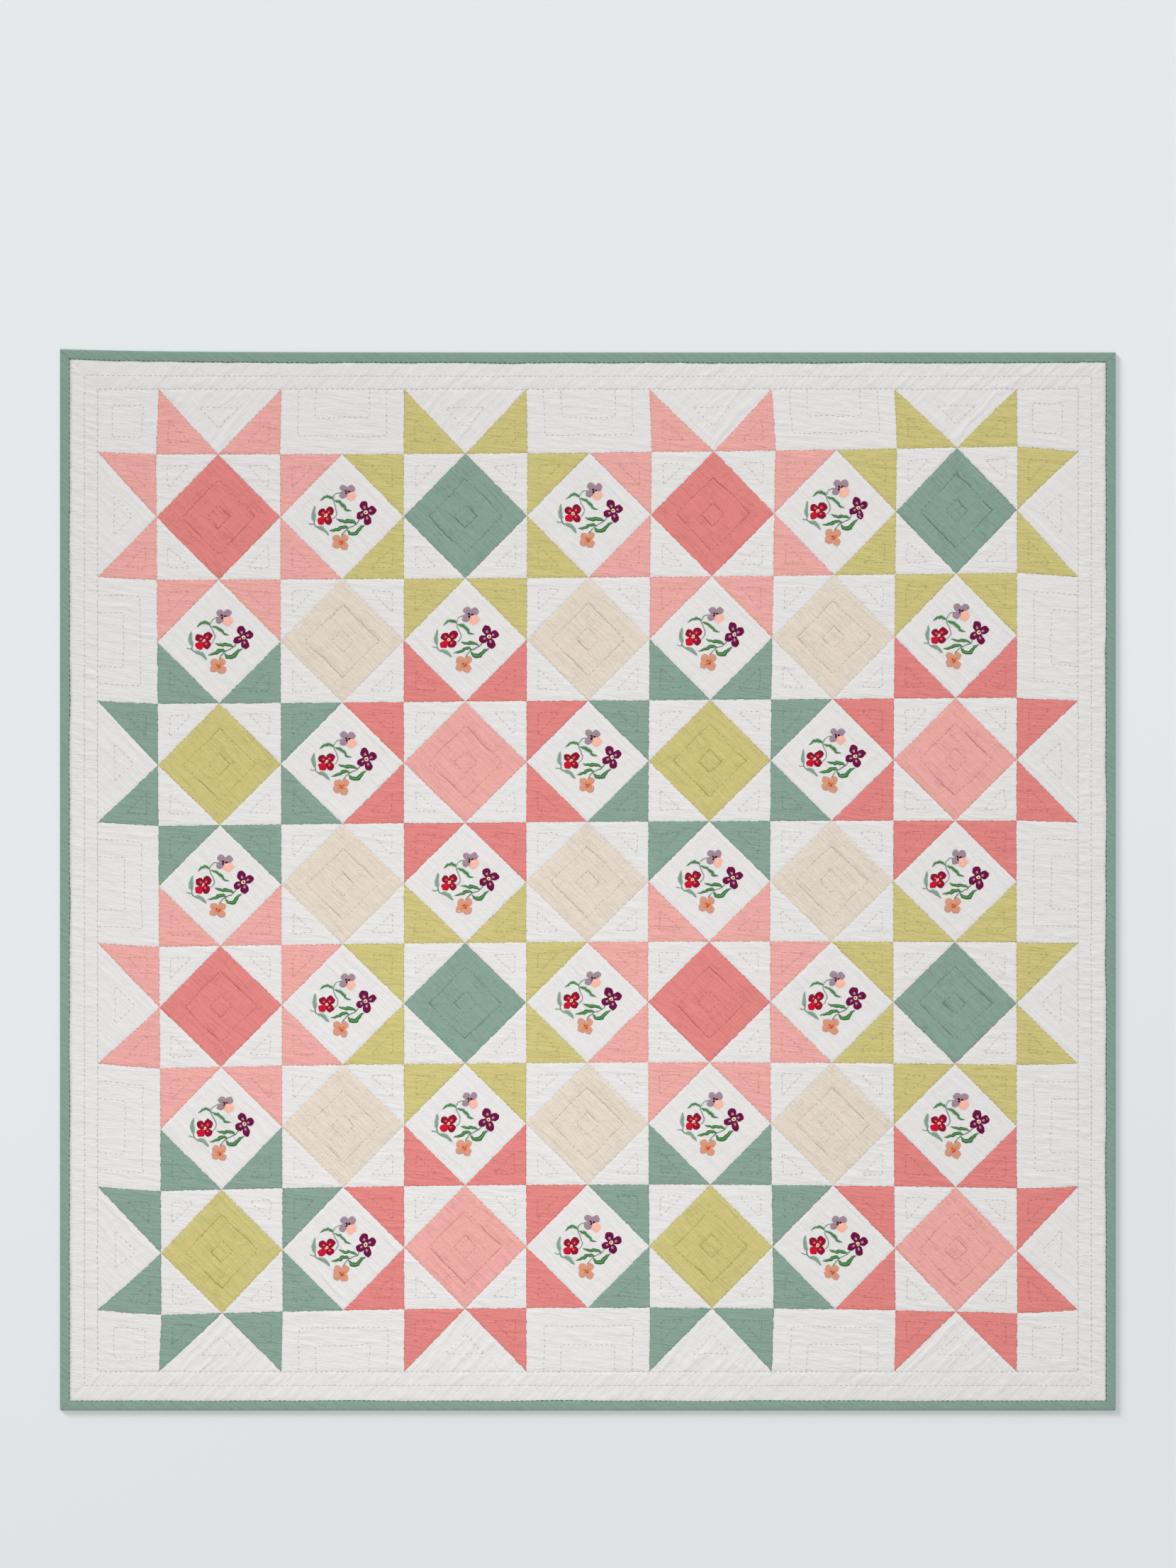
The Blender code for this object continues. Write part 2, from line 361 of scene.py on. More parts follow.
def band_lines(seams, quilting, x, y, inside):
    """The seams and quilting of the band of half cells."""
    upright = np.abs(y) >= np.abs(x)
    run = np.where(upright, x, y)
    out = np.where(upright, np.abs(y), np.abs(x)) / HALF_CELL - BAND_INSIDE
    cx = 2 * np.round(run / CELL)
    a = np.abs(run / HALF_CELL - cx)
    star = np.round(cx + OUTER_CELL) % 4 == 0
    corner = inside & (np.minimum(np.abs(x), np.abs(y)) > BAND_INSIDE * HALF_CELL)
    across = np.where(upright, y, x)
    inner = HALF_CELL * out
    outer = HALF_CELL * (1 - out)
    end = HALF_CELL * (1 - a)
    slant = HALF_CELL * (a - out) / ROOT_TWO
    diagonal = HALF_CELL * (a + out) / ROOT_TWO
    triangle = [(end, across), (inner, run), (slant, diagonal)]
    goose = [(outer, run), (-slant, diagonal)]
    oblong = [(inner, run), (end, across), (outer, run)]
    in_triangle = inside & star & ~corner & (slant >= 0)
    in_goose = inside & star & ~corner & (slant < 0)
    in_oblong = inside & ~star & ~corner
    seams.ring(in_triangle, triangle)
    seams.ring(in_goose, goose)
    seams.ring(in_oblong, oblong)
    leg = TRIANGLE_LEG * SQUARE
    quilting.ring(in_triangle, inset(triangle, leg, leg, TRIANGLE_SLANT * SQUARE / ROOT_TWO))
    quilting.ring(in_goose, inset(goose, GOOSE_BASE * SQUARE, GOOSE_SLANT * SQUARE / ROOT_TWO))
    for line in OBLONG_LINES:
        quilting.ring(in_oblong, inset(oblong, line * SQUARE, line * SQUARE, -FAR))
    u = np.abs(x) / HALF_CELL - BAND_INSIDE
    v = np.abs(y) / HALF_CELL - BAND_INSIDE
    square = [(HALF_CELL * u, y), (HALF_CELL * (1 - u), y), (HALF_CELL * v, x), (HALF_CELL * (1 - v), x)]
    seams.ring(corner, square)
    quilting.ring(corner, inset(square, *[CORNER_LINE * SQUARE] * 4))
    return in_goose


def border_lines(seams, quilting, x, y, share):
    """The border's inner seam, its line of quilting and its stitched edge."""
    upright = (np.abs(y) - FIELD) / BORDER_Y >= (np.abs(x) - FIELD) / BORDER_X
    run = np.where(upright, x, y)
    depth = np.where(upright, BORDER_Y, BORDER_X)
    for line in (0.0, 0.5, 1.0):
        quilting.ring(share >= 0, [(depth * (share - line), run)])
    seams.ring(share >= 0, [(depth * share, run)])


SHUFFLED = np.array(random.Random(7).sample(range(256), 256))

# The random part of the relief, in metres. A pair is the length and the width of a kind of ripple.
STRAY = 0.006  # how far a crease strays from straight
STRAY_SIZE = 0.045
PATCHY_SIZE = 0.07  # from creases that run one way to creases that run the other
SLANTING_RIPPLES = (0.130, 0.0125)
LEVEL_RIPPLES = (0.065, 0.0085)
CROSSING_RIPPLES = (0.055, 0.0130)
PUCKERS = (0.0085, 0.030)
BILLOW = 0.0006
BILLOW_SIZE = 0.12
WANDER_SIZE = 0.009
SWAY_SIZE = 0.055
NEAR = 0.010  # how far from a line its stitches calm the cloth
MEET = 0.0015  # how far from a seam the ripples start, so that patches meet

# How far lines and seams sink into the wadding, and how hard the thread of each part pulls.
LINE_SUNK = 0.7
SEAM_SUNK = 0.85
FALLING_PULL = 1.0
RISING_PULL = 0.55
FIELD_PULL = 0.20
BORDER_PULL = 0.35

# Degrees that ripples run from +X: in diamonds, in the border and white points above and below, in the white
# points at the sides, and elsewhere. Ripples at more than SLANTING degrees are the longer kind.
HEADINGS = (-46.0, 48.0, -44.0)
LEVEL_HEADING = -6.0
SLANTING = 30


def random_field(u, v, seed):
    """Smooth random heights from about -1 to 1, with hills about one unit across."""
    column = np.floor(u).astype(int)
    row = np.floor(v).astype(int)
    u = u - column
    v = v - row

    def pull(step_u, step_v):
        angle = SHUFFLED[(SHUFFLED[(column + step_u + seed) & 255] + row + step_v) & 255] * math.pi / 128
        return np.cos(angle) * (u - step_u) + np.sin(angle) * (v - step_v)

    ease_u = u * u * u * (u * (6 * u - 15) + 10)
    ease_v = v * v * v * (v * (6 * v - 15) + 10)
    low = pull(0, 0) + ease_u * (pull(1, 0) - pull(0, 0))
    high = pull(0, 1) + ease_u * (pull(1, 1) - pull(0, 1))
    return 1.5 * (low + ease_v * (high - low))


def hills(x, y, size, seed):
    """Smooth random heights, with hills about this many metres across."""
    return random_field(x / size, y / size, seed)


def ripple(x, y, length, width, heading, seed):
    """Smooth random heights in streaks of this length and width that run along heading, in degrees."""
    turn = np.radians(heading)
    along = (x * np.cos(turn) + y * np.sin(turn)) / length
    across = (y * np.cos(turn) - x * np.sin(turn)) / width
    return random_field(along, across, seed)


def folds(wave, sharpness):
    """Narrow valleys where a smooth random wave crosses zero."""
    return np.exp(-((wave * sharpness) ** 2))


def wrinkles(x, y, heading, sizes):
    """Ripples and creases of the washed cloth, which run along heading and a little across it."""
    px = x + STRAY * hills(x, y, STRAY_SIZE, 41)
    py = y + STRAY * hills(x, y, STRAY_SIZE, 43)
    patchy = smooth_step(0.5 + 1.3 * hills(x, y, PATCHY_SIZE, 17))
    slanting = np.abs(heading) > SLANTING
    length, width = (np.where(slanting, *pair) for pair in zip(SLANTING_RIPPLES, LEVEL_RIPPLES))
    ways = ripple(px, py, length, width, heading, 7)
    across = ripple(px, py, *CROSSING_RIPPLES, heading + 88, 13)
    sharp = folds(ways, 2.8) * patchy + 0.4 * folds(across, 3.0) * (1 - patchy)
    return sizes.ripples * (0.9 * ways + 0.4 * across) - sizes.crease * sharp


def tightness(x, y, in_diamond):
    """How hard the quilting thread pulls the cloth in: unevenly, and most where a diamond's line falls."""
    falling = (x - CELL * np.round(x / CELL)) * (y - CELL * np.round(y / CELL)) > 0
    plain = np.where(border_share(x, y) < 0, FIELD_PULL, BORDER_PULL)
    pull = np.where(in_diamond, np.where(falling, FALLING_PULL, RISING_PULL), plain)
    return pull * (0.25 + 1.2 * smooth_step(0.5 + 1.6 * hills(x, y, STRAY_SIZE, 53)))


def border_swell(x, y, share, upright, distance, sizes):
    """The slanting ripples of the border, which lie flat along its stitches."""
    slope = np.where(upright, x - 0.8 * y, y + 0.2 * x)
    swell = ripple(slope, share, 0.0085, 0.7, 0, 29) + 0.5 * ripple(slope, share, 0.0047, 0.4, 0, 61)
    swell *= np.where(upright, 2.5, 2.0) * sizes.pucker * (1 - np.exp(-distance / 0.004))
    return np.where((share >= 0) & (share < 1), swell, 0.0)


def quilted_surface(x, y, sizes):
    """The height of the top at points of the true pattern, and the attributes that its materials read."""
    seams = Lines(len(x))
    quilting = Lines(len(x))
    share = border_share(x, y)
    reach = np.maximum(np.abs(x), np.abs(y)) / HALF_CELL
    upright = np.abs(y) > np.abs(x)
    in_diamond, plain = cell_lines(seams, quilting, x, y, reach <= BAND_INSIDE)
    in_goose = band_lines(seams, quilting, x, y, (reach > BAND_INSIDE) & (share < 0))
    border_lines(seams, quilting, x, y, share)
    rising = upright & (in_goose | (share >= 0))
    heading = np.select([in_diamond, rising, in_goose], HEADINGS, LEVEL_HEADING)
    distance = np.minimum(seams.distance, quilting.distance)
    run = np.where(quilting.distance < seams.distance, quilting.run, seams.run)
    tight = tightness(x, y, in_diamond)
    sunk = np.maximum(
        LINE_SUNK * tight * np.exp(-quilting.distance / sizes.groove),
        SEAM_SUNK * np.exp(-seams.distance / sizes.ditch),
    )
    near = np.exp(-distance / NEAR)
    height = sizes.loft * (1 - sunk) + sizes.pucker * ripple(run, distance, *PUCKERS, 0, 3) * near
    lively = np.select([plain, in_goose & upright], [0.8, 1.7], 1.0)
    lively *= (1 - 0.3 * near) * (1 - np.exp(-seams.distance / MEET))
    height += lively * wrinkles(x, y, heading, sizes)
    height += BILLOW * hills(x, y, BILLOW_SIZE, 23)
    height += border_swell(x, y, share, upright, distance, sizes)
    base = STITCH_TOP + (RIM_TOP - STITCH_TOP) * smooth_step(share)
    height = np.where(share >= 1, 0.0, height)
    return base + height, {
        "seam_mm": 1000 * seams.distance,
        "seam_run_mm": 1000 * seams.run,
        "quilt_mm": 1000 * quilting.distance,
        "tight": tight,
        "turn": -np.radians(heading),
    }


def lay(mesh, sizes):
    """Raises a flat mesh to the quilted surface and moves it to where the sewn pattern runs."""
    x, y, _ = coordinates(mesh.polygons, "center")
    turn = quilted_surface(x, y, sizes)[1]["turn"]
    x, y, z = coordinates(mesh.vertices, "co")
    height, attributes = quilted_surface(x, y, sizes)
    hold = 1 - smooth_step(border_share(x, y))
    free = hold * (1 - np.exp(-attributes["seam_mm"] / 12))
    shift = []
    for seed in (31, 37):
        near = sizes.wander * hold * hills(x, y, WANDER_SIZE, seed)
        shift.append(near + sizes.sway * free * hills(x, y, SWAY_SIZE, seed + 20))
    x, y = settle(x + shift[0], y + shift[1])
    mesh.vertices.foreach_set("co", np.stack([x, y, z + height], axis=1).astype(np.float32).ravel())
    del attributes["turn"]
    add_attributes(mesh, "POINT", attributes)
    add_attributes(mesh, "FACE", {"turn": turn})
    mesh.update()


def coordinates(items, name):
    """This property of the mesh's vertices or faces as arrays of X, Y and Z."""
    places = np.empty(len(items) * 3, np.float32)
    items.foreach_get(name, places)
    return places.reshape(-1, 3).T.astype(float)


def add_attributes(mesh, domain, attributes):
    """Stores one number for each point or face of the mesh under each name."""
    for name, values in attributes.items():
        attribute = mesh.attributes.new(name, "FLOAT", domain)
        attribute.data.foreach_set("value", np.asarray(values, np.float32))


# Making pieces


def as_mesh(name, drawn):
    """The drawn bmesh as a mesh."""
    mesh = bpy.data.meshes.new(name)
    drawn.to_mesh(mesh)
    drawn.free()
    return mesh


def tiled(name, placed):
    """One mesh with a copy of each (template, place, material number)."""
    joined = bmesh.new()
    for template, place, number in placed:
        copy = template.copy()
        copy.transform(place)
        if number:
            copy.polygons.foreach_set("material_index", [number] * len(copy.polygons))
        joined.from_mesh(copy, face_normals=False, vertex_normals=False)
        bpy.data.meshes.remove(copy)
    return as_mesh(name, joined)


def extruded(drawn, edges):
    """Extrudes a row of edges, and returns the vertices and the edges of the new row."""
    made = bmesh.ops.extrude_edge_only(drawn, edges=edges)["geom"]
    verts = [item for item in made if isinstance(item, bmesh.types.BMVert)]
    row = set(verts)
    made = [item for item in made if isinstance(item, bmesh.types.BMEdge)]
    return verts, [edge for edge in made if row.issuperset(edge.verts)]


def piece(mesh, materials, slot, *nodes):
    """A finished piece, which rides on the bedspread and stands for these CAD nodes."""
    mesh.shade_smooth()
    for material in materials:
        mesh.materials.append(material)
    obj = bpy.data.objects.new(mesh.name, mesh)
    bpy.context.scene.collection.objects.link(obj)
    bpy.data.collections["lit_by_key"].objects.link(obj)
    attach(obj, "root")
    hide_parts(*nodes)


def quilted(mesh, materials, slot):
    """A finished piece of the quilted top."""
    lay(mesh, bpy.context.scene.bedspread_sizes)
    piece(mesh, materials, slot, PANEL)


# Materials

SHADER = "Principled BSDF"
MULTIPLY = {"data_type": "RGBA", "blend_type": "MULTIPLY"}


def add_node(material, kind, inputs=(), output=0, **settings):
    """Adds a node with its settings and links, and returns one of its outputs.

    inputs are values or the sockets that feed them. Inputs and output go by name or number.
    """
    node = material.node_tree.nodes.new(f"ShaderNode{kind}")
    for key, value in settings.items():
        setattr(node, key, value)
    for key, value in dict(inputs).items():
        if isinstance(value, bpy.types.NodeSocket):
            material.node_tree.links.new(value, node.inputs[key])
        else:
            node.inputs[key].default_value = value
    return node.outputs[output]


def dyed(name, colour, roughness, sheen=0.0, specular=0.25):
    """A new material with this colour."""
    material = bpy.data.materials.new(name)
    material.use_nodes = True
    material.diffuse_color = (*colour, 1.0)
    values = {
        "Base Color": (*colour, 1.0),
        "Roughness": roughness,
        "Metallic": 0.0,
        "IOR": 1.47,
        "Specular IOR Level": specular,
        "Sheen Weight": sheen,
        "Sheen Roughness": 0.6,
    }
    for key, value in values.items():
        material.node_tree.nodes[SHADER].inputs[key].default_value = value
    return material


def finished(material, colour, bump=None):
    """The material with this colour, and this bump where there is one, linked to its shader."""
    inputs = material.node_tree.nodes[SHADER].inputs
    material.node_tree.links.new(colour, inputs["Base Color"])
    if bump is not None:
        material.node_tree.links.new(bump, inputs["Normal"])
    return material


def streaks(material, place, length, width, detail=2.0):
    """Random streaks of this length along X and width along Y, in metres, from about 0.3 to 0.7."""
    scaled = add_node(material, "Mapping", {"Vector": place, "Scale": (1 / length, 1 / width, 1.0)})
    noise = {"Vector": scaled, "Scale": 1.0, "Detail": detail, "Roughness": 0.6}
    return add_node(material, "TexNoise", noise)


def creases(material, place, heading, length, width):
    """Wandering creases along heading: 1 in a crease and 0 between, and the soft ripples they lie in."""
    add = partial(add_node, material)
    turned = add("Mapping", {"Vector": place, "Rotation": (0.0, 0.0, -math.radians(heading))})
    wave = streaks(material, turned, length, width, 1.0)
    patchy = streaks(material, turned, 0.6 * length, 2.5 * width, 0.0)
    away = add("Math", {0: wave, 1: 0.5}, operation="SUBTRACT")
    away = add("Math", {0: away}, operation="ABSOLUTE")
    fall = {"Value": away, "From Min": 0.0, "From Max": 0.045, "To Min": 1.0, "To Max": 0.0}
    depth = add("MapRange", fall, interpolation_type="SMOOTHSTEP")
    share = add("MapRange", {"Value": patchy, "From Min": 0.32, "From Max": 0.60})
    return add("Math", {0: depth, 1: share}, operation="MULTIPLY"), wave


SEAM_PITCH = 10.5  # millimetres from one stitch of a seam to the next
# Painted shade reaches this far beside a seam, and LINE_REACH beside a line of quilting.
SEAM_REACH = 2.6  # millimetres that a seam darkens on each side of it
LINE_REACH = 1.9
THREADS = (0.055, 0.0022)  # metres that one thread shows for, and across it
SLUBS = (0.020, 0.0036)
ALONG_CREASES = (0.080, 0.0092)
ACROSS_CREASES = (0.045, 0.0150)


def woven(name, colour, contrast, slub, crease_shade, seam_shade=0.30, line_shade=0.2, relief_share=0.5):
    """Plain-woven cloth: matt, with single threads that run a little lighter or darker.

    Threads are about 0.4 mm apart in the real cloth, and are drawn 2.2 mm apart so that they show.
    contrast is how far the threads differ, slub is how far their thick places do, and the shades are how
    dark the painted shade is in the cloth's creases, along its seams and where quilting draws it in.
    relief_share is how much of the fine relief shows.
    """
    material = dyed(name, colour, 0.88, 0.12)
    add = partial(add_node, material)
    place = add("TexCoord", output="Object")
    weft = streaks(material, place, *THREADS)
    warp = streaks(material, place, *reversed(THREADS))
    turn = add("Attribute", output="Fac", attribute_name="turn")
    turned = add("VectorRotate", {"Vector": place, "Angle": turn}, rotation_type="Z_AXIS")
    slubs = streaks(material, turned, *SLUBS, 3.0)
    fading = streaks(material, place, 0.10, 0.10)
    threads = add("Math", {0: weft, 1: warp}, operation="ADD")
    tone = add("Math", {0: threads, 1: contrast, 2: 1 - contrast}, operation="MULTIPLY_ADD")
    for wave, share in ((slubs, slub), (fading, 0.05)):
        centred = add("Math", {0: wave, 1: 0.5}, operation="SUBTRACT")
        tone = add("Math", {0: centred, 1: share, 2: tone}, operation="MULTIPLY_ADD")
    along, ripples = creases(material, turned, 0, *ALONG_CREASES)
    across, _ = creases(material, turned, 88, *ACROSS_CREASES)
    folded = add("Math", {0: across, 1: 0.75, 2: along}, operation="MULTIPLY_ADD")
    tight = add("Attribute", output="Fac", attribute_name="tight")
    drawn = add("MapRange", {"Value": tight, "From Min": 0.0, "From Max": 0.8, "To Min": 0.5})
    folded = add("Math", {0: folded, 1: drawn}, operation="MULTIPLY")
    # Painted shade along the seams comes in dark notches, one at each stitch, some deeper than others.
    uneven = streaks(material, place, 0.014, 0.014, 1.0)
    run = add("Attribute", output="Fac", attribute_name="seam_run_mm")
    run = add("Math", {0: run, 1: 2 * math.pi / SEAM_PITCH}, operation="MULTIPLY")
    seam_notch_shade = add("Math", {0: run}, operation="SINE")
    seam_notch_shade = add("Math", {0: seam_notch_shade, 1: 0.5, 2: 0.5}, operation="MULTIPLY_ADD")
    seam_notch_shade = add("Math", {0: seam_notch_shade, 1: uneven}, operation="MULTIPLY")
    # Painted shade beside the seams and the lines of quilting, where the cloth sinks into the wadding.
    for attribute, reach, shade, pull in (
        ("seam_mm", SEAM_REACH, 2 * seam_shade, seam_notch_shade),
        ("quilt_mm", LINE_REACH, 2 * line_shade, tight),
    ):
        distance = add("Attribute", output="Fac", attribute_name=attribute)
        rise = {"Value": distance, "From Min": 0.0, "From Max": reach, "To Min": -shade, "To Max": 0.0}
        painted_stitch_shade = add("MapRange", rise, interpolation_type="SMOOTHSTEP")
        tone = add("Math", {0: painted_stitch_shade, 1: pull, 2: tone}, operation="MULTIPLY_ADD")
    # Painted shade in the creases.
    tone = add("Math", {0: folded, 1: -crease_shade, 2: tone}, operation="MULTIPLY_ADD")
    # Painted shade deepens the colour as well as darkening it, as folded cloth lights itself.
    deep = [0.35 * part * part for part in colour]
    shades = {0: tone, 6: (*deep, 1.0), 7: (*colour, 1.0)}
    shaded = add("Mix", shades, 2, data_type="RGBA", clamp_factor=False)
    relief = threads
    for wave, height in ((slubs, 3.5), (ripples, 4.0), (folded, -1.0)):
        relief = add("Math", {0: wave, 1: height, 2: relief}, operation="MULTIPLY_ADD")
    bump = add("Bump", {"Strength": relief_share, "Distance": 0.0012, "Height": relief})
    return finished(material, shaded, bump)


def floss(name, stops, ragged=0.16):
    """Stranded embroidery floss: smooth cotton strands side by side, which catch the light in fine stripes.

    stops are (share of the way from the petal's middle to its rim, colour). Real strands are about 0.5 mm
    wide, and are drawn 1.1 mm wide so that they show. ragged is how unevenly one colour meets the next.
    """
    material = dyed(name, stops[-1][1], 0.60, specular=0.10)
    add = partial(add_node, material)
    strands = streaks(material, add("UVMap", uv_map="stitches"), 0.0011, 0.011)
    rim = add("Attribute", output="Fac", attribute_name="rim")
    reach = add("Math", {0: strands, 1: 2 * ragged, 2: -ragged}, operation="MULTIPLY_ADD")
    reach = add("Math", {0: rim, 1: reach}, operation="ADD")
    ramp = add("ValToRGB", {0: reach})
    elements = ramp.node.color_ramp.elements
    for number, (share, colour) in enumerate(stops):
        element = elements[number] if number < 2 else elements.new(share)
        element.position = share
        element.color = (*colour, 1.0)
    # Painted light: the strands are painted lighter and darker in fine stripes, as they catch the light.
    tone = add("Math", {0: strands, 1: 0.7, 2: 0.65}, operation="MULTIPLY_ADD")
    shaded = add("Mix", {0: 1.0, 6: ramp, 7: tone}, 2, **MULTIPLY)
    bump = add("Bump", {"Strength": 0.5, "Distance": 0.0006, "Height": strands})
    return finished(material, shaded, bump)


def shaded_sewing_thread(name, colour):
    """Sewing cotton: a thin matt thread, given a colour darker than its cloth as painted shade of its small
    dimple.
    """
    material = dyed(name, colour, 0.8)
    add = partial(add_node, material)
    twist = streaks(material, add("TexCoord", output="Object"), 0.003, 0.003)
    tone = add("Math", {0: twist, 1: 0.5, 2: 0.75}, operation="MULTIPLY_ADD")
    return finished(material, add("Mix", {0: 1.0, 6: (*colour, 1.0), 7: tone}, 2, **MULTIPLY))


# Patchwork


def right_triangle():
    """Half of a square whose right-angled corner is at the origin, with legs along +X and +Y."""
    drawn = bmesh.new()
    corners = [drawn.verts.new(place) for place in ((0, 0, 0), (HALF_CELL, 0, 0), (0, HALF_CELL, 0))]
    drawn.faces.new(corners)
    bmesh.ops.subdivide_edges(drawn, edges=drawn.edges, cuts=FINENESS - 1, use_grid_fill=True)
    return as_mesh("right_triangle", drawn)


def oblong(half_cells):
    """A grid this many half cells along X and one along Y, with its first row at the origin's height."""
    drawn = bmesh.new()
    place = Matrix.Diagonal((half_cells * HALF_CELL / 2, HALF_CELL / 2, 1, 1))
    shift = Matrix.Translation(((2 - half_cells) * HALF_CELL / 2, HALF_CELL / 2, 0))
    bmesh.ops.create_grid(
        drawn, x_segments=half_cells * FINENESS, y_segments=FINENESS, size=1.0, matrix=shift @ place
    )
    return as_mesh("oblong", drawn)


def cloth_templates():
    """For each kind of patch, the flat meshes it is made of and their places in it."""
    half = right_triangle()
    return {
        "echo_diamond": [(half, at(0, 0, turn)) for turn in range(4)],
        "plain_diamond": [(half, at(0, 0, turn)) for turn in range(4)],
        "triangle": [(half, at(0, 0))],
        "goose": [(half, at(0, 1, 2)), (half, at(0, 1, 3))],
        "oblong": [(oblong(2), at(0, 0))],
        "corner": [(oblong(1), at(0, 0))],
    }


# Names for each cloth, which its material's name is built from.
SLOTS = {
    "white": "white_cotton",
    "sage": "sage_cotton",
    "lime": "lime_cotton",
    "coral": "coral_cotton",
    "salmon": "salmon_cotton",
    "linen": "beige_linen",
}


def cloth_material(cloth):
    """The woven material of a cloth, made once. The frame's own materials have the slots' names."""
    name = f"washed_{SLOTS[cloth]}"
    if name in bpy.data.materials:
        return bpy.data.materials[name]
    colour = getattr(bpy.context.scene.bedspread_colours, cloth)
    # The shades give each cloth its painted shade in creases, along seams and along lines of quilting.
    if cloth == "linen":
        return woven(name, colour, 0.10, 0.18, 0.08, seam_shade=0.26, line_shade=0.16)
    if cloth == "white":
        return woven(name, colour, 0.04, 0.07, 0.03, seam_shade=0.20, line_shade=0.20, relief_share=0.34)
    return woven(name, colour, 0.08, 0.13, 0.13, seam_shade=0.45)


class BEDSPREAD_OT_patchwork(bpy.types.Operator):
    """Adds the patches of the cells and of the band round them, cloth by cloth"""

    bl_idname = "bedspread.patchwork"
    bl_label = "Patchwork"

    def execute(self, context):
        templates = cloth_templates()
        whites = {"plain_diamond": "white_diamonds", "triangle": "white_triangles"}
        groups = {}
        for kind, cloth, place in (*cell_places(), *band_places()):
            name = whites.get(kind, "white_band") if cloth == "white" else f"{cloth}_patches"
            parts = [(mesh, place @ inner, 0) for mesh, inner in templates[kind]]
            groups.setdefault((name, cloth), []).extend(parts)
        for (name, cloth), placed in groups.items():
            quilted(tiled(name, placed), [cloth_material(cloth)], SLOTS[cloth])
        return {"FINISHED"}


class BEDSPREAD_OT_border(bpy.types.Operator):
    """Adds the plain border strip and the part of it that lies under the binding"""

    bl_idname = "bedspread.border"
    bl_label = "Border"

    def execute(self, context):
        drawn = bmesh.new()
        turned = Matrix.Rotation(math.pi / 4, 4, "Z")
        bmesh.ops.create_circle(drawn, segments=4, radius=FIELD * ROOT_TWO, matrix=turned)
        bmesh.ops.subdivide_edges(drawn, edges=drawn.edges, cuts=2 * BAND_OUTSIDE * FINENESS - 1)
        spans = []
        for row in range(1, BORDER_ROWS + 1):
            depth = RIM_SHOULDER + BORDER_X * (1 - row / BORDER_ROWS)
            half_length = LENGTH / 2 - RIM_SHOULDER - BORDER_Y * (depth - RIM_SHOULDER) / BORDER_X
            spans.append((WIDTH / 2 - depth, half_length))
        for row in range(1, RIM_ROWS + 1):
            depth = RIM_SHOULDER + (RIM_INSET - RIM_SHOULDER) * row / RIM_ROWS
            spans.append((WIDTH / 2 - depth, LENGTH / 2 - depth))
        rim = list(drawn.edges)
        across, along = FIELD, FIELD
        for half_width, half_length in spans:
            verts, rim = extruded(drawn, rim)
            scale = Vector((half_width / across, half_length / along, 1))
            bmesh.ops.scale(drawn, vec=scale, verts=verts)
            across, along = half_width, half_length
        bmesh.ops.recalc_face_normals(drawn, faces=drawn.faces)
        if drawn.faces[:][0].normal.z < 0:
            bmesh.ops.reverse_faces(drawn, faces=drawn.faces)
        quilted(as_mesh("white_border", drawn), [cloth_material("white")], "white_cotton")
        return {"FINISHED"}


# Backing

BACKING_RISE = 0.0010  # how far the quilting draws the backing up
# Steps in from the seams of each patch, and the height there.
BACKING_STEPS = ((0.004, 0.0003), (0.006, 0.0), (0.012, 0.0005), (0.0025, BACKING_RISE), (0.003, 0.0))
# Shares of the border left outside a ring, and the height there.
BACKING_RINGS = ((0.8, 0.0), (0.5, BACKING_RISE), (0.2, 0.0))


def patch_outlines():
    """The outlines of all the patches, in half cells from the middle."""
    outlines = []
    for cx, cy in product(CELLS, CELLS):
        outlines.append(((cx + 1, cy), (cx, cy + 1), (cx - 1, cy), (cx, cy - 1)))
        for sx, sy, _ in CORNERS:
            outlines.append(((cx + sx, cy + sy), (cx, cy + sy), (cx + sx, cy)))
    low, high = BAND_INSIDE, BAND_OUTSIDE
    band = [((low, low), (high, low), (high, high), (low, high))]
    for cx in CELLS:
        if (cx + OUTER_CELL) % 4 == 0:
            band.append(((cx - 1, low), (cx, low), (cx - 1, high)))
            band.append(((cx + 1, low), (cx, low), (cx + 1, high)))
            band.append(((cx - 1, high), (cx, low), (cx + 1, high)))
        else:
            band.append(((cx - 1, low), (cx, low), (cx + 1, low), (cx + 1, high), (cx - 1, high)))
    for outline in band:
        for _ in range(4):
            outlines.append(outline)
            outline = tuple((-y, x) for x, y in outline)
    return outlines


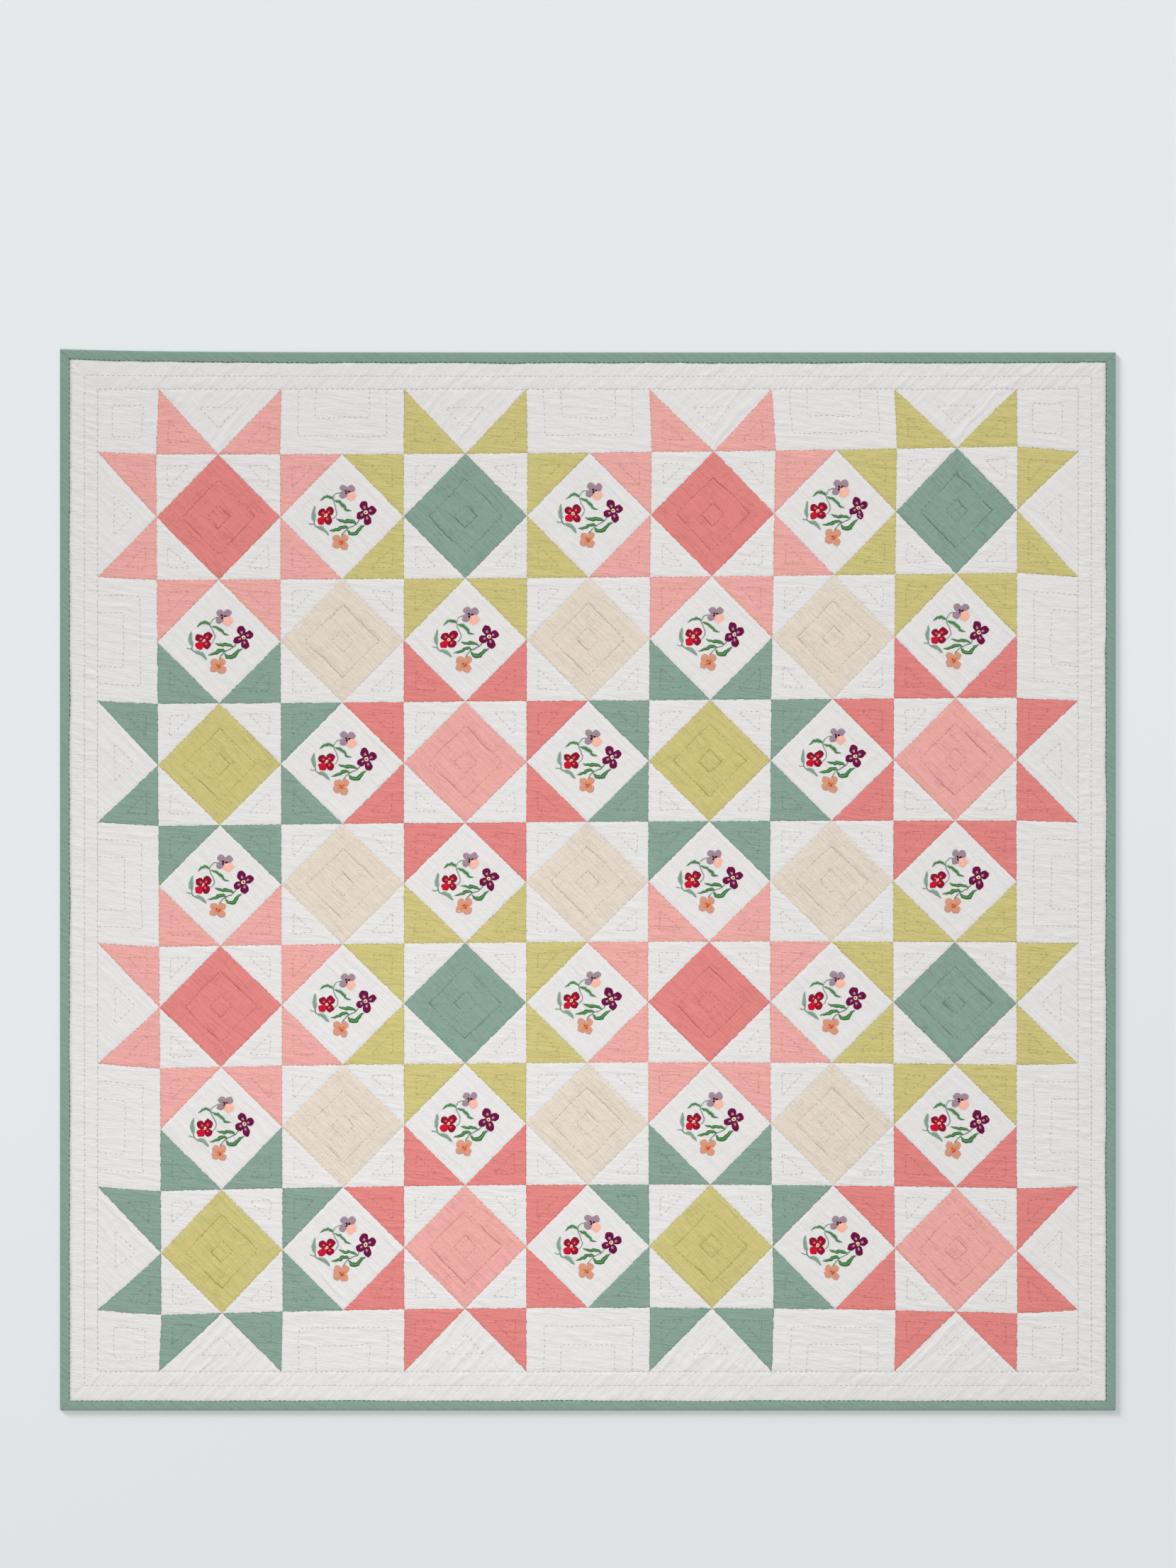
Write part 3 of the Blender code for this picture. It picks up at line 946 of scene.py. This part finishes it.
class BEDSPREAD_OT_backing(bpy.types.Operator):
    """Adds the plain backing, drawn up a little along the lines of stitches"""

    bl_idname = "bedspread.backing"
    bl_label = "Backing"

    def execute(self, context):
        drawn = bmesh.new()
        points = {}
        faces = []
        for outline in patch_outlines():
            for x, y in outline:
                if (x, y) not in points:
                    points[x, y] = drawn.verts.new((x * HALF_CELL, y * HALF_CELL, BACKING_RISE))
            faces.append(drawn.faces.new([points[corner] for corner in outline]))
        bmesh.ops.recalc_face_normals(drawn, faces=drawn.faces)
        for distance, height in BACKING_STEPS:
            bmesh.ops.inset_individual(drawn, faces=faces, thickness=distance, use_even_offset=True)
            for vert in {vert for face in faces for vert in face.verts}:
                vert.co.z = height
        rings = [(RIM_SHOULDER + share * BORDER_X, height) for share, height in BACKING_RINGS]
        rings += [
            (RIM_SHOULDER + UNDERSIDE_CHAMFER, 0.0),
            (RIM_SHOULDER, RIM_UNDERSIDE),
            (RIM_INSET, RIM_UNDERSIDE),
        ]
        rim = [edge for edge in drawn.edges if edge.is_boundary]
        for depth, height in rings:
            verts, rim = extruded(drawn, rim)
            x_reach = max(abs(vert.co.x) for vert in verts)
            y_reach = max(abs(vert.co.y) for vert in verts)
            for vert in verts:
                vert.co.x *= (WIDTH / 2 - depth) / x_reach
                vert.co.y *= (LENGTH / 2 - depth) / y_reach
                vert.co.z = height
        bmesh.ops.recalc_face_normals(drawn, faces=drawn.faces)
        if sum(face.normal.z * face.calc_area() for face in drawn.faces) > 0:
            bmesh.ops.reverse_faces(drawn, faces=drawn.faces)
        for vert in drawn.verts:
            x, y = settle(np.float64(vert.co.x), np.float64(vert.co.y))
            vert.co.x, vert.co.y = float(x), float(y)
        # The backing too gets painted shade from woven, in its creases and along seams.
        material = woven("white_cotton_backing", context.scene.bedspread_colours.white, 0.03, 0.02, 0.03)
        piece(as_mesh("backing", drawn), [material], "white_cotton", PANEL)
        return {"FINISHED"}


# Binding

BINDING_STEPS = 540
TOP_WIDER = 0.0020
NOSE_STEPS = 6
TOP_CURVE = ((0.30, 1.0), (0.48, 1.0), (0.64, 1.0), (0.80, 0.985), (0.92, 0.94))  # shares in, and of height
CRISP_FOLD = math.radians(50)  # faces that meet at more than this keep a crisp edge


def binding_section():
    """The folded strip's outline as (distance in from the edge, height), in order round the section."""
    inside_top = BINDING_HEIGHT - BINDING_CLOTH
    outside = []
    for step in range(NOSE_STEPS + 1):
        angle = math.pi * (step / NOSE_STEPS - 0.5)
        lift = 0.48 * BINDING_HEIGHT * (1 + math.sin(angle))
        outside.append((NOSE * (1 - math.cos(angle)), lift))
    outside += [(share * BINDING_WIDTH, height * BINDING_HEIGHT) for share, height in TOP_CURVE]
    edge = [(BINDING_WIDTH, BINDING_HEIGHT - BINDING_DIP), (BINDING_WIDTH, inside_top - BINDING_DIP)]
    hollow = [(0.70 * BINDING_WIDTH, inside_top), (FOLD_DEPTH, inside_top), (FOLD_DEPTH, BINDING_CLOTH)]
    under = [(BINDING_WIDTH, BINDING_CLOTH), (BINDING_WIDTH, 0.0)]
    return outside + edge + hollow + under


def binding_point(turn, share, depth, height, half_run, half_span):
    """A point of one side's strip, with the wander, scallops and puckers of its hand-sewn edge."""
    slow, quick = WAVE_TURNS
    wave = math.sin(slow * share + 2 * turn) * math.cos(quick * share + turn)
    wave *= BINDING_WAVE * (1 - share * share)
    run = share * half_run
    inward = depth / BINDING_WIDTH
    reach = depth
    if height > BINDING_HEIGHT / 2:
        scallop = random_field(run / 0.011, turn * 7.5, 1)
        wider = TOP_WIDER if turn == 0 else 0.0
        reach += (wave + (wider + 0.0007 * scallop) * (1 - abs(share) ** 8)) * inward * inward
        tuck = random_field((run + 0.6 * depth) / 0.012, inward * 0.8 + turn * 5, 3)
        swell = random_field(run / 0.05, inward + turn * 5, 9)
        height += (0.0005 * tuck * inward + 0.0003 * swell) * min(1.0, 4 * inward)
    x = share * (half_run - depth - CLEARANCE)
    y = half_span - reach
    for _ in range(turn):
        x, y = -y, x
    x, y = settle(np.float64(x), np.float64(y))
    return float(x), float(y), height


class BEDSPREAD_OT_binding(bpy.types.Operator):
    """Adds the four mitred strips of the binding, folded over the edge and sewn down on top"""

    bl_idname = "bedspread.binding"
    bl_label = "Binding"

    def execute(self, context):
        section = binding_section()
        count = BINDING_STEPS + 1
        colour = context.scene.bedspread_colours.binding
        # Painted shade: a dark line along the binding's sewn inner edge, where seam_mm is small.
        material = woven("sage_cotton_binding", colour, 0.05, 0.03, 0.10, seam_shade=1.0)
        for turn, side in enumerate(SIDES):
            half_run, half_span = WIDTH / 2, LENGTH / 2
            if turn % 2:
                half_run, half_span = half_span, half_run
            drawn = bmesh.new()
            verts = [drawn.verts.new((0.0, 0.0, 0.0)) for _ in section]
            edges = [drawn.edges.new(pair) for pair in zip(verts, verts[1:] + verts[:1])]
            first_end = edges
            for step in range(count):
                if step:
                    verts, edges = extruded(drawn, edges)
                share = 2 * step / BINDING_STEPS - 1
                for vert, (depth, height) in zip(verts, section):
                    vert.co = binding_point(turn, share, depth, height, half_run, half_span)
            bmesh.ops.contextual_create(drawn, geom=first_end)
            bmesh.ops.contextual_create(drawn, geom=edges)
            bmesh.ops.recalc_face_normals(drawn, faces=drawn.faces)
            mesh = as_mesh(f"sage_binding_{side}", drawn)
            runs = np.linspace(-1000 * half_run, 1000 * half_run, count)
            held = {
                "seam_mm": [1000 * (BINDING_WIDTH - depth) for depth, _ in section] * count,
                "seam_run_mm": np.repeat(runs, len(section)),
                "quilt_mm": [FAR * 1000] * len(section) * count,
                "turn": [0.6] * len(section) * count,
            }
            add_attributes(mesh, "POINT", held)
            piece(mesh, [material], "sage_cotton", f"binding_{side}")
            mesh.set_sharp_from_angle(angle=CRISP_FOLD)
        return {"FINISHED"}


# Quilting stitches

# How bright each thread is painted beside its cloth: painted shade of the dimple that it lies in.
THREAD_DIMPLE_SHADE = {"white": 0.58}
OTHER_THREAD_DIMPLE_SHADE = 0.70


def stitch_template(name, outlines, sizes, closed=True):
    """Running stitches along outlines whose corners are in squares of the cloth mesh."""
    drawn = bmesh.new()
    for outline in outlines:
        points = [Vector((x * SQUARE, y * SQUARE, 0)) for x, y in outline]
        ends = points[1:] + points[:1] if closed else points[1:]
        for start, end in zip(points, ends):
            running_stitches(drawn, start, end, sizes)
    return as_mesh(name, drawn)


def running_stitches(drawn, start, end, sizes):
    """A line of running stitches from start to end: thin spindles that lie in the cloth."""
    way = end - start
    count = max(1, round(way.length / sizes.stitch_pitch))
    turn = Matrix.Rotation(math.atan2(way.y, way.x), 4, "Z")
    shape = Matrix.Diagonal((sizes.stitch_length / 2, sizes.stitch_width / 2, sizes.stitch_width / 2, 1))
    for number in range(count):
        middle = start + way * (number + 0.5) / count
        place = Matrix.Translation((middle.x, middle.y, sizes.stitch_width / 4))
        matrix = place @ turn @ shape
        bmesh.ops.create_uvsphere(drawn, u_segments=4, v_segments=2, radius=1.0, matrix=matrix)


def stitch_templates(sizes):
    """The running stitches of each kind of patch that is quilted."""
    low, high = CORNER_LINE, FINENESS - CORNER_LINE
    far = FINENESS - TRIANGLE_SLANT - TRIANGLE_LEG
    top = FINENESS - GOOSE_BASE
    half = top - GOOSE_SLANT
    rings = [((ring, 0), (0, ring), (-ring, 0), (0, -ring)) for ring in ECHO_RINGS]
    legs = [((TRIANGLE_LEG, TRIANGLE_LEG), (far, TRIANGLE_LEG), (TRIANGLE_LEG, far))]
    goose = [((0, GOOSE_SLANT), (half, top), (-half, top))]
    square = [((low, low), (high, low), (high, high), (low, high))]
    bays = []
    for line in OBLONG_LINES:
        side = FINENESS - line
        bays.append(((-side, FINENESS), (-side, line), (side, line), (side, FINENESS)))
    return {
        "echo_diamond": stitch_template("diamond_stitches", rings, sizes),
        "triangle": stitch_template("triangle_stitches", legs, sizes),
        "goose": stitch_template("goose_stitches", goose, sizes),
        "oblong": stitch_template("oblong_stitches", bays, sizes, closed=False),
        "corner": stitch_template("corner_stitches", square, sizes),
    }


class BEDSPREAD_OT_quilting(bpy.types.Operator):
    """Adds the running stitches that hold the three layers together"""

    bl_idname = "bedspread.quilting"
    bl_label = "Quilting stitches"

    def execute(self, context):
        sizes = context.scene.bedspread_sizes
        templates = stitch_templates(sizes)
        cloths = list(SLOTS)
        placed = []
        for kind, cloth, place in (*cell_places(), *band_places()):
            if kind in templates:
                placed.append((templates[kind], place, cloths.index(cloth)))
        spans = [(FIELD + share * BORDER_X, FIELD + share * BORDER_Y) for share in (0.0, 0.5)]
        outlines = [((x, y), (-x, y), (-x, -y), (x, -y)) for x, y in spans]
        outlines = [[(x / SQUARE, y / SQUARE) for x, y in outline] for outline in outlines]
        placed.append((stitch_template("border_stitches", outlines, sizes), Matrix.Identity(4), 0))
        materials = []
        for cloth in cloths:
            # Painted shade: each thread is its cloth's colour, darkened for the dimple that it lies in.
            shade = THREAD_DIMPLE_SHADE.get(cloth, OTHER_THREAD_DIMPLE_SHADE)
            colour = [shade * part for part in getattr(context.scene.bedspread_colours, cloth)]
            materials.append(shaded_sewing_thread(f"{cloth}_sewing_thread", colour))
        quilted(tiled("quilting_stitches", placed), materials, "quilting_thread")
        return {"FINISHED"}


# Embroidery

PETAL_SIDES = 20
SMALL_SIDES = 10
SMALL = 10  # millimetres long, below which a petal has fewer sides
DARK_SHARE = 0.35
NUDGE = 0.0012  # metres that a spray is off the middle of its patch
TILT = 1.2  # degrees that it is turned


def one_colour(name):
    """The stops of a floss that is one colour all over."""
    return ((0.0, name), (1.0, name))


FLOSSES = {  # from the middle of a petal to its rim
    "mauve": one_colour("mauve"),
    "peach": one_colour("peach"),
    "red": ((0.0, "rose"), (0.16, "rose"), (0.25, "red"), (0.35, "red"), (0.47, "maroon")),
    "scarlet": one_colour("red"),
    "plum": ((0.0, "lilac"), (0.22, "lilac"), (0.32, "plum")),
    "tan": one_colour("tan"),
    "orange": one_colour("orange"),
    "cream": one_colour("cream"),
    "dark": one_colour("dark"),
}
GREENS = {  # from the middle of a leaf to its edge
    "pale_leaf": ((0.0, "stem"), (0.30, "pale_leaf")),
    "leaf": ((0.12, "deep_leaf"), (0.45, "leaf"), (0.85, "pale_leaf")),
    "deep_leaf": ((0.10, "leaf"), (0.50, "deep_leaf")),
    "stem": one_colour("stem"),
    "pale_stem": ((0.0, "pale_leaf"), (1.0, "stem")),
}

# The four flowers, in millimetres from the middle of the patch, from the lowest petals up: the eye that the
# petals point away from, their floss, ruffle and lift, and the middle, reach and width of each.
FLOWERS = (
    ((10, 50), "peach", 0.06, 0.0, ((17, 42, 20, 21.5),)),
    ((10, 50), "mauve", 0.03, 0.1, ((3.5, 58, 18, 14.5), (17.5, 57.5, 17.5, 15.5), (2, 44.5, 18.5, 14.5))),
    ((10, 50), "dark", 0.0, 0.75, ((7, 53, 6.5, 3.8), (13, 52, 6.5, 3.8), (7, 47.5, 6.5, 3.8))),
    ((-34, 3), "scarlet", 0.08, 0.0, ((-42.5, -6.5, 18, 16.5),)),
    ((-34, 3), "red", 0.03, 0.1, ((-42, 9, 17.5, 15.5), (-26.5, 11, 20, 18.5), (-28, -6, 18.5, 16.5))),
    ((-40, 3), "cream", 0.0, 0.7, ((-34, 3, 6.5, 6.5),)),
    ((-40, 3), "scarlet", 0.0, 1.5, ((-34, 3, 2.6, 2.6),)),
    ((49, 8.5), "plum", 0.03, 0.05, ((45, 21, 22.5, 18), (60, 13, 20.5, 17))),
    ((49, 8.5), "plum", 0.03, 0.05, ((38.5, 3, 20.5, 16), (52, -5, 23.5, 16))),
    ((40, 8.5), "cream", 0.0, 0.7, ((49, 8.5, 8.5, 8.5),)),
    ((40, 8.5), "dark", 0.0, 1.5, ((49, 8.5, 3.4, 3.4),)),
    ((-3, -50), "tan", 0.04, 0.0, ((-10.5, -43, 19, 16), (4, -42.5, 18, 16))),
    ((-3, -50), "tan", 0.04, 0.0, ((-11.5, -55, 18.5, 16.5), (2.5, -58, 20, 17.5))),
    ((-3, -50), "orange", 0.0, 0.75, ((-7, -46.5, 8.5, 4.6), (1, -46.5, 8.5, 4.6))),
    ((-3, -50), "orange", 0.0, 0.75, ((-7, -53, 8.5, 4.6), (1, -54, 8.5, 4.6))),
    ((-3, -50), "scarlet", 0.0, 1.5, ((-5, -48.5, 3.4, 2.8), (0, -51.5, 3.4, 2.8))),
    ((-3, -50), "scarlet", 0.0, 1.5, ((-2.5, -53.5, 3.4, 2.8),)),
)
# Stems: floss, width, steps and points. Leaves: floss, width, waves and points.
STEMS = (
    (
        "pale_stem", 1.7, 24,
        ((-3, 50), (-12, 47.5), (-18, 40), (-19, 32), (-14, 20), (-10.5, 10), (-13, 2), (-18, -4)),
    ),
    ("stem", 1.9, 20, ((35, -5), (29, -13), (19, -18), (10, -23), (4, -29), (-1, -36))),
    ("stem", 2.0, 10, ((-57, -5), (-57.5, -13), (-54, -19), (-48, -22))),
    ("pale_stem", 1.7, 6, ((-56, -13), (-61, -14.5), (-68, -13))),
)
LEAVES = (
    ("leaf", 6.8, 0.25, ((-19, 35), (-27, 40.5), (-37, 40), (-48, 32))),
    ("leaf", 7.2, 0.25, ((-18, 33), (-8, 30), (2, 23), (9, 14), (19, 12))),
    ("pale_leaf", 8.5, 0.05, ((-57, -8), (-60, 4), (-58, 23))),
    ("pale_leaf", 8.0, 0.05, ((-52, -20), (-40, -23), (-27, -36))),
    ("deep_leaf", 6.8, 0.25, ((30, -12), (16, -7), (3, -8), (-10, -4))),
    ("deep_leaf", 6.8, 0.25, ((14, -20), (2, -18), (-10, -24), (-25, -27))),
    ("deep_leaf", 8.6, 0.22, ((11, -24), (19, -33), (31, -31), (38, -22), (48, -16))),
)


class Needlework:
    """A flat drawing of raised stitches, with the way that its strands run."""

    def __init__(self):
        self.drawn = bmesh.new()
        self.stitches = self.drawn.loops.layers.uv.new("stitches")
        self.rim = self.drawn.verts.layers.float.new("rim")

    def colour(self, places, number):
        """Gives the faces at these vertices a floss, and their strands the places in metres."""
        for face in {face for vert in places for face in vert.link_faces}:
            face.material_index = number
            for loop in face.loops:
                loop[self.stitches].uv = places[loop.vert]

    def petal(self, centre, eye, reach, width, number, ruffle, lift):
        """A low dome of satin stitch that points away from the flower's eye. Sizes are in millimetres."""
        sides = SMALL_SIDES if reach < SMALL else PETAL_SIDES
        ring = bmesh.ops.create_circle(self.drawn, cap_ends=True, segments=sides, radius=1.0)["verts"]
        crown = ring[0].link_faces[0]
        verts = set(ring)
        for depth in (0.10, 0.36):
            bmesh.ops.inset_region(self.drawn, faces=[crown], thickness=depth)
            verts.update(crown.verts)
        verts.update(bmesh.ops.poke(self.drawn, faces=[crown])["verts"])
        heading = math.atan2(centre[1] - eye[1], centre[0] - eye[0])
        places = {}
        for vert in verts:
            radius = min(1.0, math.hypot(vert.co.x, vert.co.y))
            angle = math.atan2(vert.co.y, vert.co.x)
            swing = 1 + ruffle * radius * math.sin(5 * angle + centre[0])
            swing += 0.5 * ruffle * math.cos(8 * angle)
            along = vert.co.x * swing * reach / 2 - 0.16 * reach * (1 - radius)
            across = vert.co.y * swing * width / 2 * (1 + 0.16 * vert.co.x)
            rise = 1.2 * math.sqrt(max(0.0, 1 - radius ** 3)) - 0.15
            places[vert] = (across / 1000, along / 1000)
            vert[self.rim] = radius
            x = centre[0] + along * math.cos(heading) - across * math.sin(heading)
            y = centre[1] + along * math.sin(heading) + across * math.cos(heading)
            vert.co = (x / 1000, y / 1000, rise + lift)
        self.colour(places, number)

    def ribbon(self, points, width, number, waves=0.0, steps=10, tapered=True):
        """A leaf or a stem of stitches along a smooth line through the points. Sizes are in millimetres."""
        section = (-1.0, -0.5, 0.0, 0.5, 1.0) if tapered else (-1.0, 0.0, 1.0)
        rises = (-0.1, 0.7, 0.85, 0.7, -0.1) if tapered else (0.0, 0.9, 0.0)
        verts = [self.drawn.verts.new((0, 0, 0)) for _ in section]
        edges = [self.drawn.edges.new(pair) for pair in zip(verts, verts[1:])]
        places = {}
        run = 0.0
        before = smooth_place(points, 0.0)
        for step in range(steps + 1):
            share = step / steps
            here = smooth_place(points, share)
            ahead = smooth_place(points, min(1.0, share + 0.02))
            ahead -= smooth_place(points, max(0.0, share - 0.02))
            normal = Vector((-ahead.y, ahead.x)).normalized()
            run += (here - before).length
            before = here
            half = width / 2
            if tapered:
                half *= 0.06 + math.sin(math.pi * share ** 0.85) ** 0.8
            if step:
                verts, edges = extruded(self.drawn, edges)
            for vert, side, rise in zip(verts, section, rises):
                sway = waves * math.sin(7.5 * share * math.pi + (0.8 if side > 0 else 0.0)) * half
                place = here + normal * (side * half + sway)
                vert.co = (place.x / 1000, place.y / 1000, rise)
                vert[self.rim] = abs(side)
                places[vert] = ((run + 0.8 * abs(side) * half) / 1000, side * half / 1000)
        self.colour(places, number)

    def finished(self, name, rise):
        """The drawing as a mesh, with its heights scaled and its faces turned up."""
        bmesh.ops.scale(self.drawn, vec=(1, 1, rise), verts=self.drawn.verts)
        bmesh.ops.translate(self.drawn, vec=(0, 0, rise / 2), verts=self.drawn.verts)
        self.drawn.normal_update()
        turned = [face for face in self.drawn.faces if face.normal.z < 0]
        bmesh.ops.reverse_faces(self.drawn, faces=turned)
        return as_mesh(name, self.drawn)


def smooth_place(points, share):
    """The point this share of the way along a smooth curve through the points."""
    last = len(points) - 1
    position = min(share * last, last - 1e-6)
    index = int(position)
    t = position - index
    a, b, c, d = [Vector(points[min(max(index + step, 0), last)]) for step in (-1, 0, 1, 2)]
    bend = (2 * a - 5 * b + 4 * c - d) * t * t
    return 0.5 * (2 * b + (c - a) * t + bend + (3 * b - a - 3 * c + d) * t ** 3)


def flower_spray(rise):
    """Four garden flowers, drawn round the middle of a patch."""
    work = Needlework()
    names = list(FLOSSES)
    for eye, name, ruffle, lift, petals in FLOWERS:
        for x, y, reach, width in petals:
            work.petal((x, y), eye, reach, width, names.index(name), ruffle, lift)
    return work.finished("flower_spray", rise)


def leaf_spray(rise):
    """The stems and leaves round the flowers."""
    work = Needlework()
    names = list(GREENS)
    for name, width, steps, points in STEMS:
        work.ribbon(points, width, names.index(name), steps=steps, tapered=False)
    for name, width, waves, points in LEAVES:
        work.ribbon(points, width, names.index(name), waves)
    return work.finished("leaf_spray", rise)


class BEDSPREAD_OT_embroidery(bpy.types.Operator):
    """Adds the spray of flowers to each white diamond, each turned a little by hand"""

    bl_idname = "bedspread.embroidery"
    bl_label = "Embroidery"

    def execute(self, context):
        colours = context.scene.bedspread_colours
        dice = random.Random(4)
        places = []
        for kind, _, place in cell_places():
            if kind == "plain_diamond":
                nudge = Matrix.Translation((dice.uniform(-NUDGE, NUDGE), dice.uniform(-NUDGE, NUDGE), 0))
                tilt = Matrix.Rotation(math.radians(dice.uniform(-TILT, TILT)), 4, "Z")
                places.append(place @ nudge @ tilt)
        dyes = {name: getattr(colours, name) for name in BedspreadColours.__annotations__}
        dyes["dark"] = [DARK_SHARE * part for part in colours.plum]
        rise = context.scene.bedspread_sizes.floss
        for piece_name, spray, threads in (
            ("embroidered_flowers", flower_spray(rise), FLOSSES),
            ("embroidered_leaves", leaf_spray(rise), GREENS),
        ):
            materials = []
            for name, stops in threads.items():
                materials.append(floss(f"{name}_floss", [(share, dyes[colour]) for share, colour in stops]))
            mesh = tiled(piece_name, [(spray, place, 0) for place in places])
            quilted(mesh, materials, "embroidery_thread")
        return {"FINISHED"}


# Stage

SENSOR = 0.036
IMAGE_SHAPE = (1659, 2212)
VIEW_WIDTH = 2.452  # what the picture takes in across, at the bedspread
CAMERA_PLACE = (0.0004, 0.1994)
FLOOR_REACH = 60.0


def light(kind, name, energy, place, receivers, **settings):
    """A soft light that shines on one collection."""
    data = bpy.data.lights.new(name, kind)
    data.energy = energy
    for key, value in settings.items():
        setattr(data, key, value)
    made = bpy.data.objects.new(name, data)
    made.location = place
    bpy.context.scene.collection.objects.link(made)
    made.light_linking.receiver_collection = receivers
    return made


def sun(name, energy, azimuth, elevation, softness, receivers):
    """A soft distant light. Azimuth is where it stands, from +X towards +Y."""
    across = math.radians(azimuth)
    up = math.radians(elevation)
    stands = Vector((math.cos(across) * math.cos(up), math.sin(across) * math.cos(up), math.sin(up)))
    made = light("SUN", name, energy, 3 * stands, receivers, angle=math.radians(softness))
    made.rotation_euler = stands.to_track_quat("Z", "Y").to_euler()


def shaded_floor_paint(colour):
    """Matt floor paint, with painted shade that makes it a little darker towards the foot of the bedspread.
    """
    material = dyed("matt_floor_paint", colour, 0.9)
    add = partial(add_node, material)
    place = add("TexCoord", output="Object")
    # Painted shade: the brightness falls gently towards the foot of the bedspread.
    across = add("VectorMath", {0: place, 1: (0.35, -1.0, 0.0)}, "Value", operation="DOT_PRODUCT")
    fall = {"Value": across, "From Min": -0.5, "From Max": 1.4, "To Min": 1.01, "To Max": 0.945}
    tone = add("MapRange", fall, interpolation_type="SMOOTHSTEP")
    return finished(material, add("Mix", {0: 1.0, 6: (*colour, 1.0), 7: tone}, 2, **MULTIPLY))


class BEDSPREAD_OT_stage(bpy.types.Operator):
    """Adds the pale floor, the soft studio light and the camera straight above"""

    bl_idname = "bedspread.stage"
    bl_label = "Stage"

    def execute(self, context):
        stage = context.scene.bedspread_stage
        drawn = bmesh.new()
        bmesh.ops.create_grid(drawn, x_segments=1, y_segments=1, size=FLOOR_REACH)
        floor = bpy.data.objects.new("floor", as_mesh("floor", drawn))
        context.scene.collection.objects.link(floor)
        floor.data.materials.append(shaded_floor_paint(stage.floor))
        ground = bpy.data.collections.new("lit_from_the_side")
        ground.objects.link(floor)
        cloth = bpy.data.collections["lit_by_key"]
        sun("key_light", stage.key, 62, 38, 22, cloth)
        sun("side_light", stage.side, 152, 28, 18, cloth)
        sun("grazing_light", stage.grazing, 135, 15, 16, ground)
        sun("high_light", stage.high, 135, 75, 20, ground)
        light("AREA", "soft_lamp", stage.lamp, (-0.35, -0.50, 1.5), cloth, shape="DISK", size=0.8)
        light("AREA", "upper_lamp", 0.15 * stage.lamp, (0.42, 0.80, 1.1), cloth, shape="DISK", size=0.6)
        world = bpy.data.worlds.new("studio")
        world.use_nodes = True
        background = world.node_tree.nodes["Background"]
        background.inputs["Color"].default_value = (1.0, 1.0, 1.0, 1.0)
        background.inputs["Strength"].default_value = stage.sky
        context.scene.world = world
        data = bpy.data.cameras.new("camera")
        data.sensor_width = SENSOR * 1000
        height = VIEW_WIDTH * IMAGE_SHAPE[1] / IMAGE_SHAPE[0]
        data.lens = 1000 * SENSOR * stage.camera_height / height
        camera = bpy.data.objects.new("camera", data)
        camera.location = (*CAMERA_PLACE, stage.camera_height)
        context.scene.collection.objects.link(camera)
        context.scene.camera = camera
        context.scene.view_settings.view_transform = "Standard"
        return {"FINISHED"}


class BEDSPREAD_PT_pieces(bpy.types.Panel):
    """Lists the pieces of the bedspread and their sizes and colours"""

    bl_label = "Bedspread"
    bl_idname = "BEDSPREAD_PT_pieces"
    bl_space_type = "VIEW_3D"
    bl_region_type = "UI"
    bl_category = "Bedspread"

    def draw(self, context):
        for operator in OPERATORS:
            self.layout.operator(operator.bl_idname)
        for group in ("bedspread_sizes", "bedspread_colours", "bedspread_stage"):
            box = self.layout.box()
            settings = getattr(context.scene, group)
            for name in settings.__annotations__:
                box.prop(settings, name)


GROUPS = (BedspreadSizes, BedspreadColours, BedspreadStage)
OPERATORS = (
    BEDSPREAD_OT_stage,
    BEDSPREAD_OT_backing,
    BEDSPREAD_OT_patchwork,
    BEDSPREAD_OT_border,
    BEDSPREAD_OT_binding,
    BEDSPREAD_OT_quilting,
    BEDSPREAD_OT_embroidery,
)


def register():
    for item in (*GROUPS, *OPERATORS, BEDSPREAD_PT_pieces):
        bpy.utils.register_class(item)
    bpy.types.Scene.bedspread_sizes = PointerProperty(type=BedspreadSizes)
    bpy.types.Scene.bedspread_colours = PointerProperty(type=BedspreadColours)
    bpy.types.Scene.bedspread_stage = PointerProperty(type=BedspreadStage)


def unregister():
    del bpy.types.Scene.bedspread_stage
    del bpy.types.Scene.bedspread_colours
    del bpy.types.Scene.bedspread_sizes
    for item in (BEDSPREAD_PT_pieces, *reversed(OPERATORS), *reversed(GROUPS)):
        bpy.utils.unregister_class(item)


def main():
    register()
    bpy.data.collections.new("lit_by_key")
    bpy.ops.bedspread.stage()
    bpy.ops.bedspread.backing()
    bpy.ops.bedspread.patchwork()
    bpy.ops.bedspread.border()
    bpy.ops.bedspread.binding()
    bpy.ops.bedspread.quilting()
    bpy.ops.bedspread.embroidery()


if __name__ == "__main__":
    main()
